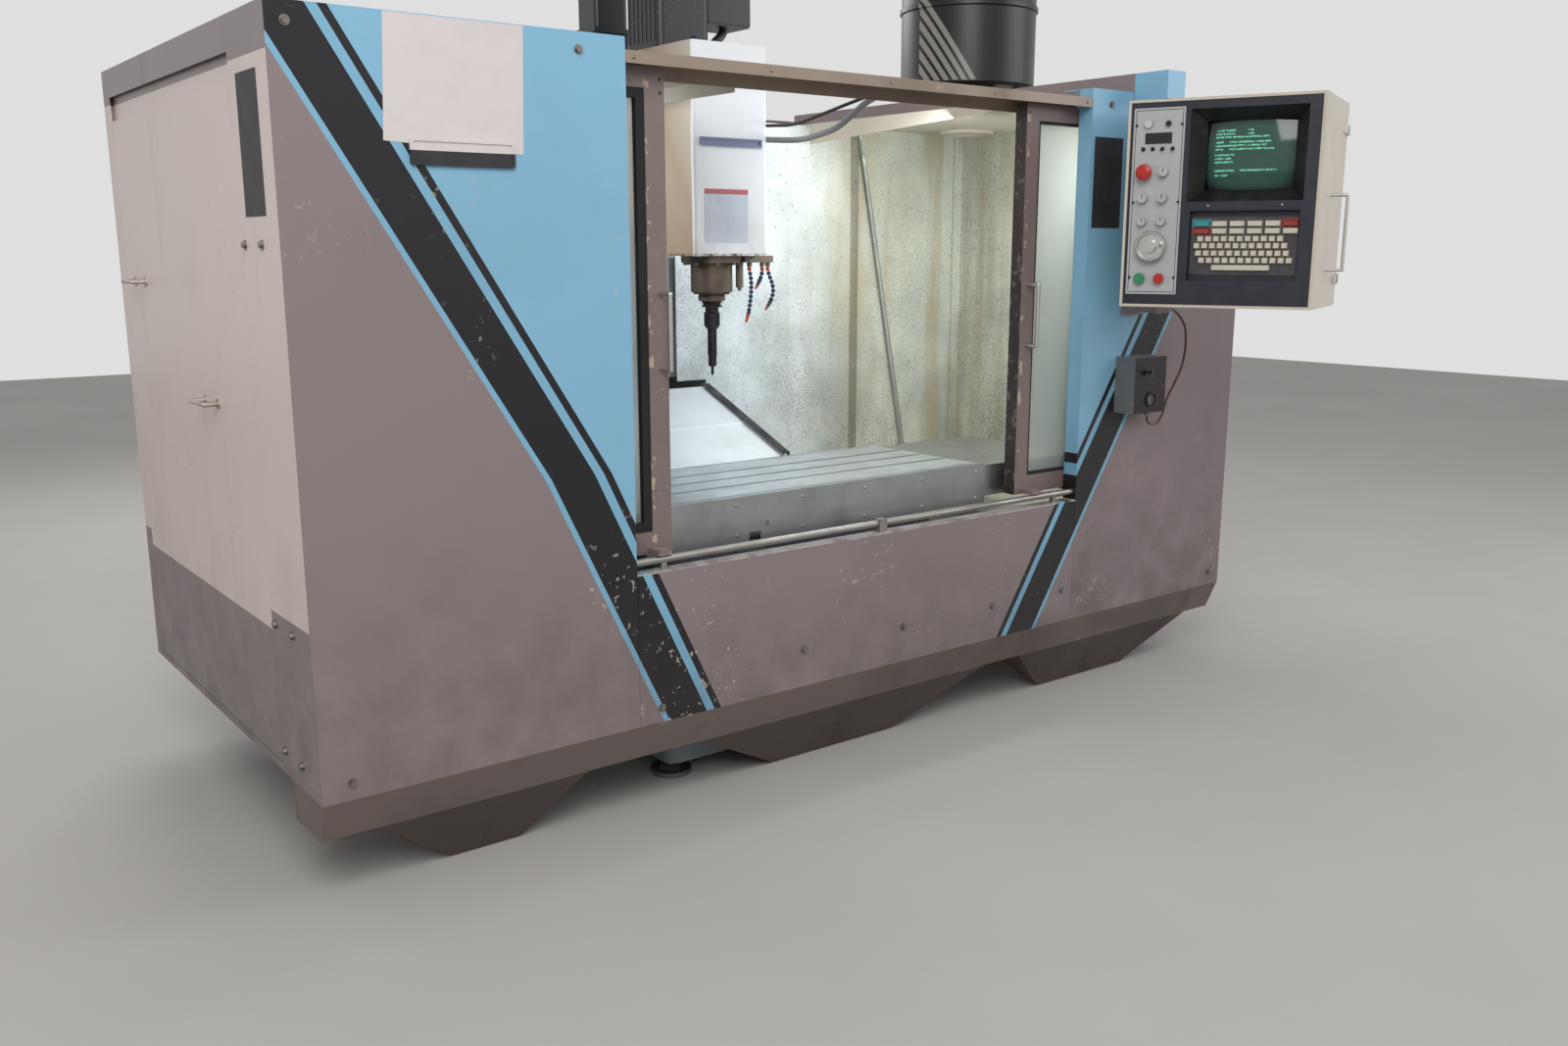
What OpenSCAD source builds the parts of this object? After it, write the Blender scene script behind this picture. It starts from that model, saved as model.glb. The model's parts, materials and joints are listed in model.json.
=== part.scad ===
// Vertical machining centre with a sheet-metal enclosure. Millimetres.
// Origin: on the floor straight below the spindle axis. +X right, +Y back, +Z up.

/* [Enclosure] */
// left outer face of the enclosure from the spindle axis
enc_left = 1515; // [1300:5:1700]
// overall width of the enclosure
enc_w = 3350; // [3000:10:3700]
// front panel plane in front of the spindle axis
enc_front = 644; // [600:2:720]
// depth of the side panels
enc_d = 1480; // [1300:10:1600]
// top of the panels above the floor
enc_top = 1980; // [1900:5:2100]
// bottom of the panels above the floor
skirt_z = 270; // [200:5:320]
// width of each fixed front wing
wing_w = 830; // [700:5:900]
// top of the fixed lower front panel
sill_z = 678; // [640:2:700]
// thickness of the sheet metal
sheet_t = 3; // [2:0.5:4]

/* [Base and column] */
// height of the levelling feet
foot_h = 40; // [25:1:60]
// top of the base casting's ways
base_top = 470; // [440:2:490]
// half width of the base casting
base_hw = 460; // [400:5:520]
// front face of the column behind the spindle axis
column_y = 545; // [540:1:600]
// depth of the column
column_d = 500; // [400:5:560]
// half width of the column
column_hw = 380; // [360:5:400]
// top of the column
column_top = 2060; // [1980:5:2200]
// half width of the arch in the foot of the column
arch_hw = 330; // [320:1:340]
// top of the arch
arch_top = 1040; // [1025:1:1060]

/* [Table] */
// table length
table_l = 1219; // [1000:1:1300]
// table depth
table_d = 508; // [400:1:520]
// table top above the floor
table_z = 815; // [790:1:830]
// table thickness
table_t = 80; // [60:1:90]
// table centre to the right of the spindle
table_cx = 66; // [0:1:100]
// table centre in front of the spindle
table_cy = 256; // [250:1:270]
// pitch of the T-slots
tslot_pitch = 110; // [90:1:120]
// width of a T-slot's throat
tslot_w = 14.3; // [10:0.1:18]
// length of the right table cover
cover_right_l = 470; // [300:5:475]
// length of the left table cover
cover_left_l = 340; // [250:5:345]
// play between parts that slide on each other
slide_gap = 0.3; // [0.2:0.05:1]

/* [Head] */
// half width of the head's cover
head_hw = 137.5; // [120:0.5:150]
// front of the head's cover in front of the spindle axis
head_front = 109; // [100:1:130]
// bottom of the head's cover
head_z = 1469; // [1400:1:1500]
// top of the head's cover
head_top = 2085; // [2000:5:2150]
// spindle nose above the floor
nose_z = 1331; // [1300:1:1350]
// radius of the spindle nose
nose_r = 42; // [35:0.5:48]
// radius of the spindle shaft
shaft_r = 34.95; // [25:0.05:38]
// running clearance of the shaft in its cartridge
run_gap = 0.05; // [0.01:0.01:0.1]
// radius of the spindle cartridge
cart_r = 65; // [55:0.5:75]

/* [Tool magazine] */
// centre of the magazine to the left of the spindle
mag_x = 640; // [620:5:700]
// radius of the circle of tool pockets
mag_r = 265; // [255:1:275]
// number of tool pockets
mag_n = 20; // [16:1:21]
// radius of a guide rod
rod_r = 15; // [10:0.5:20]

/* [Doors] */
// width of a door
door_w = 875; // [860:1:880]
// height of a door
door_h = 1214; // [1150:1:1230]
// bottom edge of the doors
door_z = 712; // [705:1:716]
// right edge of the left door, left of the spindle
door_l_edge = 540; // [500:1:560]
// left edge of the right door, right of the spindle
door_r_edge = 772; // [740:1:800]
// width of the door frame's stiles
stile_w = 58; // [50:1:70]
// depth of the door frame
door_d = 45; // [30:1:50]
// front face of the doors behind the front panels
door_set = 60; // [50:1:66]
// radius of the door rail
rail_r = 10; // [8:0.5:12]

/* [Pendant] */
// width of the pendant
pen_w = 551; // [500:1:560]
// height of the pendant
pen_h = 600; // [560:1:610]
// depth of the pendant
pen_d = 400; // [300:1:410]
// underside of the pendant
pen_z = 1319.3; // [1310:0.1:1325]
// yaw of the pendant's face from the front, towards the operator
pen_yaw = -68; // [-75:1:-60]
// pivot axis right of the spindle
piv_x = 1249; // [1230:1:1270]
// pivot axis in front of the front panels
piv_out = 106; // [98:1:112]
// key pitch of the keyboard
key_pitch = 22.4; // [20:0.1:22.6]

/* [Hidden] */
$fn = 40;
xl = -enc_left;
xr = xl + enc_w;
yf = -enc_front;
yb = yf + enc_d;
wing_l = xl + wing_w;
wing_r = xr - wing_w;
mid_x = (wing_l + wing_r) / 2;
door_y = yf + door_set;
table_y = -table_cy;
saddle_hl = 520;
rear_cover_y = table_y + table_d / 2 + 5;
rear_cover_d = 477;
rear_cover_hw = 300;
rear_cover_top = 1000;
saddle_d = 440;
saddle_z = base_top + slide_gap;
way_top = table_z - table_t - 55;
inner_r = xr - 235;
inner_l = xl + 42;
wall_y = column_y - 25;
roof_z = enc_top - 45;
wing_fold = 120;
beam_z = enc_top - 32;
head_plate_y = column_y - 35 - slide_gap;
chuck_r = 25;
flange_r = 31.75;
mag_z = nose_z - 15;
pocket_r = flange_r + 0.75;
boom_w = 88;
boom_z = enc_top - 28;
arm_z = pen_z - slide_gap - 32;
cab_y = column_y + column_d + 12;
cab_hw = 620;
cab_d = 320;
cab_z = 420;
cab_h = 1500;
drum_r = 255;
drum_x = 1450;
drum_y = 350;
drum_z = 2084;
drum_h = 560;
duct_r = 110;
piv_y = yf - piv_out;
piv_lx = 30;
piv_ly = 343;
stud_r = 12;
// face controls: x, z and shaft radius
controls = [
  [59, 392, 8], [115, 392, 5], [57, 318, 5], [115, 318, 5], [58, 251, 5], [115, 251, 5],
  [89, 178, 8], [59, 84, 10], [117, 84, 10], [62, 531, 9]
];
// key rows: first key's centre, pitch, count, height of the row and key width
key_rows = [
  [230, 49.6, 6, 243, 1.94 * key_pitch], [230, 49.6, 6, 222, 1.94 * key_pitch],
  [227, key_pitch, 11, 200, 0.84 * key_pitch], [217, key_pitch, 12, 180, 0.84 * key_pitch],
  [223, key_pitch, 12, 158.5, 0.84 * key_pitch], [233, key_pitch, 12, 138, 0.84 * key_pitch],
  [345, key_pitch, 1, 117, 7.4 * key_pitch]
];

// a block between two corners
module blk(x0, x1, y0, y1, z0, z1) {
  translate([x0, y0, z0])
    cube([x1 - x0, y1 - y0, z1 - z0]);
}

// a block with rounded vertical edges
module rblk(x0, x1, y0, y1, z0, z1, r = 10) {
  translate([0, 0, z0])
    linear_extrude(z1 - z0)
      rsquare(x0, x1, y0, y1, r);
}

module rsquare(x0, x1, y0, y1, r = 10) {
  translate([x0 + r, y0])
    square([x1 - x0 - 2 * r, y1 - y0]);
  translate([x0, y0 + r])
    square([x1 - x0, y1 - y0 - 2 * r]);
  for (x = [x0 + r, x1 - r], y = [y0 + r, y1 - r])
    translate([x, y])
      circle(r);
}

// a sheet outline drawn in Y and Z, given thickness along X
module yz_plate(x0, t, pts) {
  translate([x0, 0, 0])
    rotate([90, 0, 90])
      linear_extrude(t)
        polygon(pts);
}

// a cylinder along X or Y from a start point
module xcyl(x, y, z, l, r) {
  translate([x, y, z])
    rotate([0, 90, 0])
      cylinder(h = l, r = r);
}

module ycyl(x, y, z, l, r) {
  translate([x, y, z])
    rotate([-90, 0, 0])
      cylinder(h = l, r = r);
}

// a block that narrows from w0 by d0 to w1 by d1 over its height, centred
module frustum(w0, d0, w1, d1, h) {
  polyhedron(
    points = [
      for (e = [[w0, d0, 0], [w1, d1, h]])
        for (c = [[-1, -1], [1, -1], [1, 1], [-1, 1]])
          [c[0] * e[0] / 2, c[1] * e[1] / 2, e[2]]
    ],
    faces = [[0, 1, 2, 3], [7, 6, 5, 4], [4, 5, 1, 0], [5, 6, 2, 1], [6, 7, 3, 2], [7, 4, 0, 3]]
  );
}

// a U-shaped pull handle of round rod standing out along -Y, grip upright
module bail(x, y, z, grip, out, r) {
  for (e = [0, grip])
    translate([x, y, z + e])
      rotate([90, 0, 0])
        cylinder(h = out, r = r);
  translate([x, y - out, z])
    cylinder(h = grip, r = r);
  for (e = [0, grip])
    translate([x, y - out, z + e])
      sphere(r);
}

module base_casting() {
  color([0.36, 0.4, 0.42])
    difference() {
      union() {
        rblk(-base_hw, base_hw, -430, cab_y - 12, foot_h, base_top - 60, 40);
        for (s = [-1, 1]) {
          blk(s * 300 - 45, s * 300 + 45, -425, cab_y - 60, base_top - 60.5, base_top);
          blk(s * 430 - 20, s * 430 + 20, -380, 1000, foot_h + 60, base_top - 40);
        }
      }
      for (y = [-330 : 330 : 660])
        for (s = [-1, 1])
          rblk(s * 225 - 165, s * 225 + 165, y, y + 280, foot_h - 1, base_top - 110, 30);
    }
}

module foot(x, y) {
  translate([x, y, 0]) {
    cylinder(h = 14, r = 60);
    cylinder(h = foot_h - 6, r = 12);
    translate([0, 0, 14])
      cylinder(h = 9, r1 = 34, r2 = 22);
    translate([0, 0, foot_h - 14])
      cylinder(h = 14, r = 19, $fn = 6);
  }
}

module leveling_feet() {
  color([0.3, 0.3, 0.31]) {
    for (x = [-425, 425], y = [-380, 400, 990])
      foot(x, y);
    foot(0, 0);
  }
}

module column() {
  color([0.62, 0.66, 0.66]) {
    difference() {
      union() {
        rblk(-column_hw, column_hw, column_y, column_y + column_d, base_top - 60, column_top, 30);
      }
      blk(-column_hw + 40, column_hw - 40, column_y + 60, column_y + column_d - 30,
        base_top - 61, column_top + 1);
      blk(-arch_hw, arch_hw, column_y - 1, column_y + 61, base_top - 61, arch_top);
      for (s = [-1, 1])
        blk(s * 300 - 46, s * 300 + 46, column_y - 1, column_y + column_d + 1, base_top - 61, base_top + 1);
    }
    for (s = [-1, 1])
      blk(s * 130 - 24, s * 130 + 24, column_y - 35, column_y + 0.5, arch_top + 20, column_top - 10);
    // tie plates and the feed motor's seat on top
    blk(-column_hw + 40, column_hw - 40, column_y + 61, column_y + 121, column_top - 40, column_top);
  }
  z_feed_motor();
}

module z_feed_motor() {
  color([0.08, 0.08, 0.09]) {
    blk(-75, 75, column_y + 5, column_y + 155, column_top, column_top + 18);
    for (x = [-60, 60])
      blk(x - 10, x + 10, column_y + 15, column_y + 145, column_top + 17.5, column_top + 130.5);
    blk(-75, 75, column_y + 5, column_y + 155, column_top + 130, column_top + 146);
    rblk(-62, 62, column_y + 18, column_y + 142, column_top + 145.5, column_top + 420, 14);
    translate([0, column_y + 80, column_top + 419.5])
      cylinder(h = 40, r = 48);
    translate([0, column_y + 80, column_top + 18])
      cylinder(h = 113, r = 16);
  }
}

// a chip hopper: an open four-sided sheet funnel
module hopper(x0, x1, bx0, bx1, y1) {
  difference() {
    polyhedron_funnel(x0, x1, bx0, bx1, y1, 0);
    polyhedron_funnel(x0, x1, bx0, bx1, y1, sheet_t);
  }
}

module polyhedron_funnel(x0, x1, bx0, bx1, y1, t) {
  up = t > 0 ? 1 : 0;
  polyhedron(
    points = [
      [bx0 + t, yf + 128 + t, t + 4], [bx1 - t, yf + 128 + t, t + 4],
      [bx1 - t, y1 - 60 - t, t + 4], [bx0 + t, y1 - 60 - t, t + 4],
      [x0 + t, yf + 40 + t, 170 + up], [x1 - t, yf + 40 + t, 170 + up],
      [x1 - t, y1 - t, 170 + up], [x0 + t, y1 - t, 170 + up]
    ],
    faces = [[0, 1, 2, 3], [7, 6, 5, 4], [4, 5, 1, 0], [5, 6, 2, 1], [6, 7, 3, 2], [7, 4, 0, 3]]
  );
}

module chip_pan() {
  pan_back = yf + 205;
  hoppers = [[-1380, -820, -1167, -975], [-470, 640, -158, 315], [800, 1700, 1000, 1448]];
  color([0.2, 0.17, 0.16]) {
    // sloped strip right below the front panels, and its floor, open above the hoppers
    difference() {
      yz_plate(xl + 2, enc_w - 4, [
        [yf, skirt_z], [yf + 40, 170], [pan_back, 170], [pan_back, skirt_z],
        [pan_back - sheet_t, skirt_z], [pan_back - sheet_t, 170 + sheet_t],
        [yf + 40 + sheet_t * 0.7, 170 + sheet_t], [yf + sheet_t, skirt_z]
      ]);
      for (h = hoppers)
        blk(h[0] + 8, h[1] - 8, yf + 50, pan_back - 8, 169, 176);
    }
    for (x = [xl + 2, xr - 2 - sheet_t])
      yz_plate(x, sheet_t, [
        [yf + 1, skirt_z], [yf + 40, 170.5], [pan_back - 0.5, 170.5], [pan_back - 0.5, skirt_z]
      ]);
    for (h = hoppers)
      hopper(h[0], h[1], h[2], h[3], pan_back);
  }
}

// a fixed front wing: face sheet with returns at the opening and on top
module wing(x0, x1, open_x, s) {
  fold_x0 = s > 0 ? x0 + sheet_t + 0.2 : x0;
  fold_x1 = s > 0 ? x1 : x1 - sheet_t - 0.2;
  side_x = min(open_x, open_x - s * sheet_t);
  blk(x0, x1, yf, yf + sheet_t, skirt_z, enc_top);
  difference() {
    blk(side_x, side_x + sheet_t, yf, door_y - 6, sill_z, enc_top);
    xcyl(side_x - 1, yf + 19, door_z - 8, sheet_t + 2, rail_r + 0.3);
  }
  blk(fold_x0, fold_x1, yf, yf + wing_fold, enc_top - sheet_t, enc_top);
  blk(fold_x0, fold_x1, yf, yf + 30, skirt_z, skirt_z + sheet_t);
}

module left_wing() {
  color([0.45, 0.68, 0.8])
    wing(xl, wing_l, wing_l, 1);
}

module right_wing() {
  color([0.45, 0.68, 0.8])
    difference() {
      wing(wing_r, xr, wing_r, -1);
      blk(piv_x - boom_w / 2 - 3, piv_x + boom_w / 2 + 3, yf - 1, yf + wing_fold + 1,
        boom_z - 3, enc_top + 1);
    }
}

module lower_front_panel() {
  color([0.46, 0.4, 0.4]) {
    blk(wing_l + 1, wing_r - 1, yf, yf + sheet_t, skirt_z, sill_z);
    blk(wing_l + 1, wing_r - 1, yf, yf + 40, sill_z - sheet_t, sill_z);
    blk(wing_l + 1, wing_r - 1, yf + 40 - sheet_t, yf + 40, sill_z - 30, sill_z);
    blk(wing_l + 1, wing_r - 1, yf, yf + 30, skirt_z, skirt_z + sheet_t);
    // sill tray that leads coolant from the doors back to the pan
    blk(wing_l + 1, wing_r - 1, yf + 40 - sheet_t, yf + 105, sill_z - 30, sill_z - 30 + sheet_t);
  }
}

module left_side_frame() {
  color([0.46, 0.4, 0.4])
    difference() {
      union() {
        blk(xl, xl + sheet_t, yf + sheet_t + 0.2, yb, skirt_z, enc_top);
        blk(xl, xl + 40, yf + wing_fold + 0.2, yb, enc_top - sheet_t, enc_top);
        blk(xl, xl + 40, yb - sheet_t, yb, skirt_z, enc_top);
        blk(xl, xl + 40, yf + 30.2, yb, skirt_z, skirt_z + sheet_t);
        blk(xl + 12, xl + 12 + sheet_t, yf + 240, yb - 40, enc_top - 190, enc_top - 40);
        for (y = [yf + 243, yb - 40 - sheet_t])
          blk(xl + 1, xl + 14, y, y + sheet_t, enc_top - 190, enc_top - 40);
      }
      blk(xl - 1, xl + sheet_t + 1, yf + 268, yb - 66, skirt_z + 20, enc_top - 75);
    }
}

module access_panel() {
  color([0.84, 0.82, 0.8]) {
    blk(xl + 0.3, xl + 0.3 + sheet_t, yf + 270, yb - 68, skirt_z + 22, enc_top - 140);
    blk(xl + 0.3, xl + 11.7, yf + 270, yb - 68, enc_top - 140 - sheet_t, enc_top - 140);
    for (y = [yf + 270, yb - 68 - sheet_t])
      blk(xl + 0.3, xl + 11.7, y, y + sheet_t, skirt_z + 22, enc_top - 140);
  }
  panel_handles();
}

// two pull handles on the access panel, grips lying along Y
module panel_handles() {
  color([0.8, 0.8, 0.78])
    for (p = [[540, 1402], [-80, 1122]]) {
      for (e = [0, 110])
        xcyl(xl - 34, p[0] + e, p[1], 34.3, 6);
      ycyl(xl - 34, p[0], p[1], 110, 6);
      for (e = [0, 110])
        translate([xl - 34, p[0] + e, p[1]])
          sphere(6);
      for (e = [0, 110])
        xcyl(xl - 3, p[0] + e, p[1], 3.3, 13);
    }
}

module right_and_rear_panels() {
  color([0.46, 0.4, 0.4]) {
    blk(xr - sheet_t, xr, yf + sheet_t + 0.2, yb, skirt_z, enc_top);
    blk(xr - 40, xr, yf + wing_fold + 0.2, yb, enc_top - sheet_t, enc_top);
    blk(xr - 40, xr, yb - sheet_t, yb, skirt_z, enc_top);
    blk(xr - 40, xr, yf + 30.2, yb, skirt_z, skirt_z + sheet_t);
  }
  rear_panels();
}

module rear_panels() {
  color([0.46, 0.4, 0.4]) {
    difference() {
      blk(xl + 40.2, -column_hw - 2, yb - sheet_t, yb, skirt_z, enc_top);
      blk(-base_hw - 3, base_hw + 3, yb - 4, yb + 1, skirt_z - 1, base_top - 37);
    }
    difference() {
      blk(column_hw + 2, xr - 40.2, yb - sheet_t, yb, skirt_z, enc_top);
      blk(-base_hw - 3, base_hw + 3, yb - 4, yb + 1, skirt_z - 1, base_top - 37);
      blk(piv_x - boom_w / 2 - 3, piv_x + boom_w / 2 + 3, yb - 4, yb + 1, boom_z - 3, enc_top + 1);
    }
  }
}

// inner splash walls of the work space, with the slots for the head and the rear cover
module splash_walls() {
  slot = 206;
  color([0.8, 0.83, 0.8]) {
    difference() {
      blk(inner_l, inner_r, wall_y, wall_y + sheet_t, 640, roof_z);
      blk(-slot, slot, wall_y - 1, wall_y + sheet_t + 1, 900, roof_z + 1);
      blk(-arch_hw, arch_hw, wall_y - 1, wall_y + sheet_t + 1, 550, arch_top - 14);
    }
    blk(inner_r - sheet_t, inner_r, door_y + door_d + 4, wall_y, 640, roof_z);
    blk(inner_l, inner_l + sheet_t, door_y + door_d + 4, wall_y, 640, roof_z);
    // corner posts and the joint strip of the rear wall
    blk(inner_r - 45, inner_r - sheet_t, wall_y - 12, wall_y, 700, roof_z - 4);
    blk(1010, 1046, wall_y - 6, wall_y, 700, roof_z - 4);
    // ledges that carry chips from the walls to the front trough
    for (x = [[inner_l, -saddle_hl - 60], [saddle_hl + 60, inner_r]])
      yz_plate(x[0], x[1] - x[0], [
        [wall_y, 640], [wall_y, 643], [yf + 206, 523], [yf + 206, 520]
      ]);
  }
  wash_hose();
}

module roof_front_beam() {
  color([0.72, 0.64, 0.57]) {
    blk(wing_l + 1, wing_r - 1, yf + 2, yf + 150, beam_z, beam_z + sheet_t);
    blk(wing_l + 1, wing_r - 1, yf + 2, yf + 2 + sheet_t, beam_z - 26, beam_z + sheet_t);
    blk(wing_l + 1, wing_r - 1, yf + 147, yf + 150, beam_z - 42, beam_z + sheet_t);
    for (x = [wing_l + 1, wing_r - 1 - sheet_t])
      blk(x, x + sheet_t, yf + 2, yf + 150, beam_z - 20, beam_z + sheet_t);
  }
}

module roof_plates() {
  edge = 785;
  color([0.78, 0.77, 0.7]) {
    difference() {
      blk(edge, xr - 40.2, yf + 150.2, wall_y + 3, roof_z, roof_z + sheet_t);
      translate([drum_x, drum_y, roof_z - 1])
        cylinder(h = 9, r = duct_r - 8);
    }
    yz_plate(edge, sheet_t, [
      [yf + 150.2, roof_z + 1], [wall_y - 30, roof_z + 1],
      [wall_y - 30, roof_z - 69], [yf + 150.2, roof_z - 18]
    ]);
    blk(xl + 40.2, -260, yf + 150.2, wall_y + 3, roof_z, roof_z + sheet_t);
    blk(-263, -260, yf + 150.2, wall_y - 30, roof_z - 40, roof_z + 1);
    // inlet collar of the mist collector, seen from inside
    difference() {
      translate([drum_x, drum_y, roof_z - 12])
        cylinder(h = 12, r = duct_r);
      translate([drum_x, drum_y, roof_z - 13])
        cylinder(h = 18, r = duct_r - 8);
    }
  }
}

module mist_collector() {
  color([0.09, 0.1, 0.12]) {
    difference() {
      translate([drum_x, drum_y, roof_z + sheet_t])
        cylinder(h = drum_z - roof_z - sheet_t + 1, r = duct_r);
      translate([drum_x, drum_y, roof_z])
        cylinder(h = drum_z - roof_z + 2, r = duct_r - 8);
    }
    for (a = [45 : 90 : 315])
      translate([drum_x + 190 * cos(a), drum_y + 190 * sin(a), roof_z + sheet_t])
        cylinder(h = drum_z - roof_z - sheet_t + 1, r = 14);
    translate([drum_x, drum_y, drum_z])
      rotate_extrude($fn = 64)
        polygon([
          [0, 0], [drum_r - 12, 0], [drum_r, 12], [drum_r, 276], [drum_r + 7, 280], [drum_r + 7, 296],
          [drum_r, 300], [drum_r, drum_h - 60], [drum_r - 14, drum_h - 36], [150, drum_h - 20],
          [150, drum_h], [0, drum_h]
        ]);
  }
  collector_motor();
}

module collector_motor() {
  color([0.16, 0.17, 0.18]) {
    translate([drum_x, drum_y, drum_z + drum_h])
      cylinder(h = 140, r = 95);
    translate([drum_x, drum_y, drum_z + drum_h + 139])
      rotate_extrude()
        polygon([[0, 0], [98, 0], [98, 30], [70, 46], [0, 46]]);
    blk(drum_x - 45, drum_x + 45, drum_y - 140, drum_y - 85, drum_z + drum_h + 30, drum_z + drum_h + 110);
  }
}

module door_rails() {
  rail_z = door_z - 8;
  rail_y = yf + 19;
  color([0.6, 0.58, 0.55]) {
    xcyl(wing_l - 795, rail_y, rail_z, mid_x - 14 - wing_l + 795, rail_r);
    xcyl(mid_x + 14, rail_y, rail_z, wing_r + 795 - mid_x - 14, rail_r);
    blk(mid_x - 14.5, mid_x + 14.5, rail_y - 13, rail_y + 13, sill_z, rail_z + 13);
    for (x = [wing_l + 90, wing_r - 90])
      blk(x - 8, x + 8, rail_y - 6, rail_y + 6, sill_z, rail_z - 4);
    for (x = [wing_l - 795, wing_r + 780])
      blk(x, x + 15, yf + sheet_t, rail_y + 13, rail_z - 13, rail_z + 13);
  }
}

module door_frame(x0) {
  x1 = x0 + door_w;
  z1 = door_z + door_h;
  wall = 2.5;
  color([0.42, 0.36, 0.36]) {
    difference() {
      blk(x0, x1, door_y, door_y + door_d, door_z, z1);
      blk(x0 + stile_w, x1 - stile_w, door_y - 1, door_y + door_d + 1, door_z + stile_w, z1 - 50);
      // the frame is folded sheet, open to the back
      difference() {
        blk(x0 + wall, x1 - wall, door_y + wall, door_y + door_d + 1, door_z + wall, z1 - wall);
        blk(x0 + stile_w - wall, x1 - stile_w + wall, door_y, door_y + door_d + 2,
          door_z + stile_w - wall, z1 - 50 + wall);
      }
    }
    // shoes that ride on the rail
    for (x = [x0 + 32, x1 - 72])
      blk(x, x + 40, yf + 8, door_y + 0.5, door_z - 8 + rail_r + slide_gap, door_z + 16);
  }
}

module door_window(x0, seal) {
  x1 = x0 + door_w;
  z1 = door_z + door_h;
  pane_y = door_y + 18;
  color([0.8, 0.86, 0.88, 0.35])
    blk(x0 + stile_w, x1 - stile_w, pane_y, pane_y + 5, door_z + stile_w, z1 - 50);
  // rubber seal round the pane, on its front
  color([0.06, 0.06, 0.06])
    difference() {
      blk(x0 + stile_w, x1 - stile_w, door_y + 2, pane_y, door_z + stile_w, z1 - 50);
      blk(x0 + stile_w + seal, x1 - stile_w - seal, door_y + 1, pane_y + 1,
        door_z + stile_w + seal, z1 - 50 - seal);
    }
}

module left_door() {
  door_frame(-door_l_edge - door_w);
  left_door_handle();
}

module left_door_window() {
  door_window(-door_l_edge - door_w, 24);
}

module left_door_handle() {
  color([0.7, 0.68, 0.66])
    bail(-door_l_edge - 22, door_y + 0.5, 1190, 190, 45, 6.5);
}

module right_door() {
  door_frame(door_r_edge);
  right_door_handle();
}

module right_door_window() {
  door_window(door_r_edge, 8);
}

module right_door_handle() {
  color([0.7, 0.68, 0.66])
    bail(door_r_edge + 30, door_y, 1190, 190, 45, 6.5);
}

module saddle() {
  y0 = table_y - saddle_d / 2;
  y1 = table_y + saddle_d / 2;
  body_top = way_top - 40;
  color([0.4, 0.43, 0.45]) {
    difference() {
      blk(-saddle_hl, saddle_hl, y0, y1, saddle_z, body_top);
      for (x = [-430 : 215 : 215])
        rblk(x, x + 200, y0 + 60, y1 - 60, saddle_z + 30, body_top + 1, 20);
    }
    for (y = [y0 + 20, y1 - 90])
      blk(-saddle_hl, saddle_hl, y, y + 70, body_top - 0.5, way_top - slide_gap);
    // keepers that hang down beside the base ways
    for (s = [-1, 1])
      blk(s * 362 - 14, s * 362 + 14, y0 + 20, y1 - 20, base_top - 45, saddle_z + 1);
    // stay that carries the sloped rear cover
    blk(-240, 240, y1 - 1, rear_cover_y - 0.2, body_top - 60, body_top - 48);
    blk(-240, 240, rear_cover_y - 3, rear_cover_y - 0.2, body_top - 60, table_z - 12);
  }
}

// sloped two-piece cover behind the table, running into the arch of the column
module rear_way_cover() {
  y0 = rear_cover_y;
  y1 = rear_cover_y + rear_cover_d;
  z0 = table_z - 9;
  z1 = rear_cover_top;
  k = (z1 - z0) / (y1 - y0);
  half = rear_cover_hw;
  ym = y0 + 247;
  lap_z = z0 + k * (ym - 20 - y0);
  color([0.75, 0.76, 0.77]) {
    yz_plate(-half, 2 * half, [
      [y0, z0], [ym, z0 + k * (ym - y0)], [ym, z0 + k * (ym - y0) + 3], [y0, z0 + 3]
    ]);
    yz_plate(-half, 2 * half, [
      [ym - 20, lap_z + 2.5], [y1, z1 + 2.5], [y1, z1 + 6], [ym - 20, lap_z + 6]
    ]);
    blk(-half, half, y1 - 3, y1, z1 - 40, z1 + 5);
    blk(-half, half, y0, y0 + 3, z0 - 60, z0 + 2);
    for (x = [-half, half - 3])
      yz_plate(x, 3, [
        [y0, z0 - 60], [y1, z1 - 60], [y1, z1 + 4], [ym - 20, lap_z + 4], [ym - 20, lap_z], [y0, z0 + 1]
      ]);
  }
  cover_wipers();
}

// rubber wiper strips along the sides of the sloped cover
module cover_wipers() {
  y0 = rear_cover_y;
  y1 = rear_cover_y + rear_cover_d;
  color([0.03, 0.03, 0.03])
    for (x = [-rear_cover_hw - 13, rear_cover_hw])
      yz_plate(x, 13, [
        [y0, table_z - 24], [y1, rear_cover_top - 15], [y1, rear_cover_top + 14], [y0, table_z + 5]
      ]);
}

module table() {
  x0 = table_cx - table_l / 2;
  x1 = table_cx + table_l / 2;
  y0 = table_y - table_d / 2;
  y1 = table_y + table_d / 2;
  color([0.66, 0.67, 0.68])
    difference() {
      union() {
        blk(x0, x1, y0, y1, table_z - table_t, table_z);
        blk(x0 + 10, x1 - 10, y0 + 60, y1 - 60, way_top, table_z - table_t + 1);
      }
      for (i = [-1 : 1]) {
        blk(x0 - 1, x1 + 1, table_y + i * tslot_pitch - tslot_w / 2, table_y + i * tslot_pitch + tslot_w / 2,
          table_z - 28, table_z + 1);
        blk(x0 - 1, x1 + 1, table_y + i * tslot_pitch - 12.5, table_y + i * tslot_pitch + 12.5,
          table_z - 38, table_z - 23);
      }
      // coolant channels along the long edges
      for (y = [y0 + 8, y1 - 20])
        blk(x0 + 12, x1 - 12, y, y + 12, table_z - 6, table_z + 1);
      blk(x0 - 1, x1 + 1, table_y - 90, table_y + 90, way_top - 1, table_z - table_t - 15);
    }
}

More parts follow.
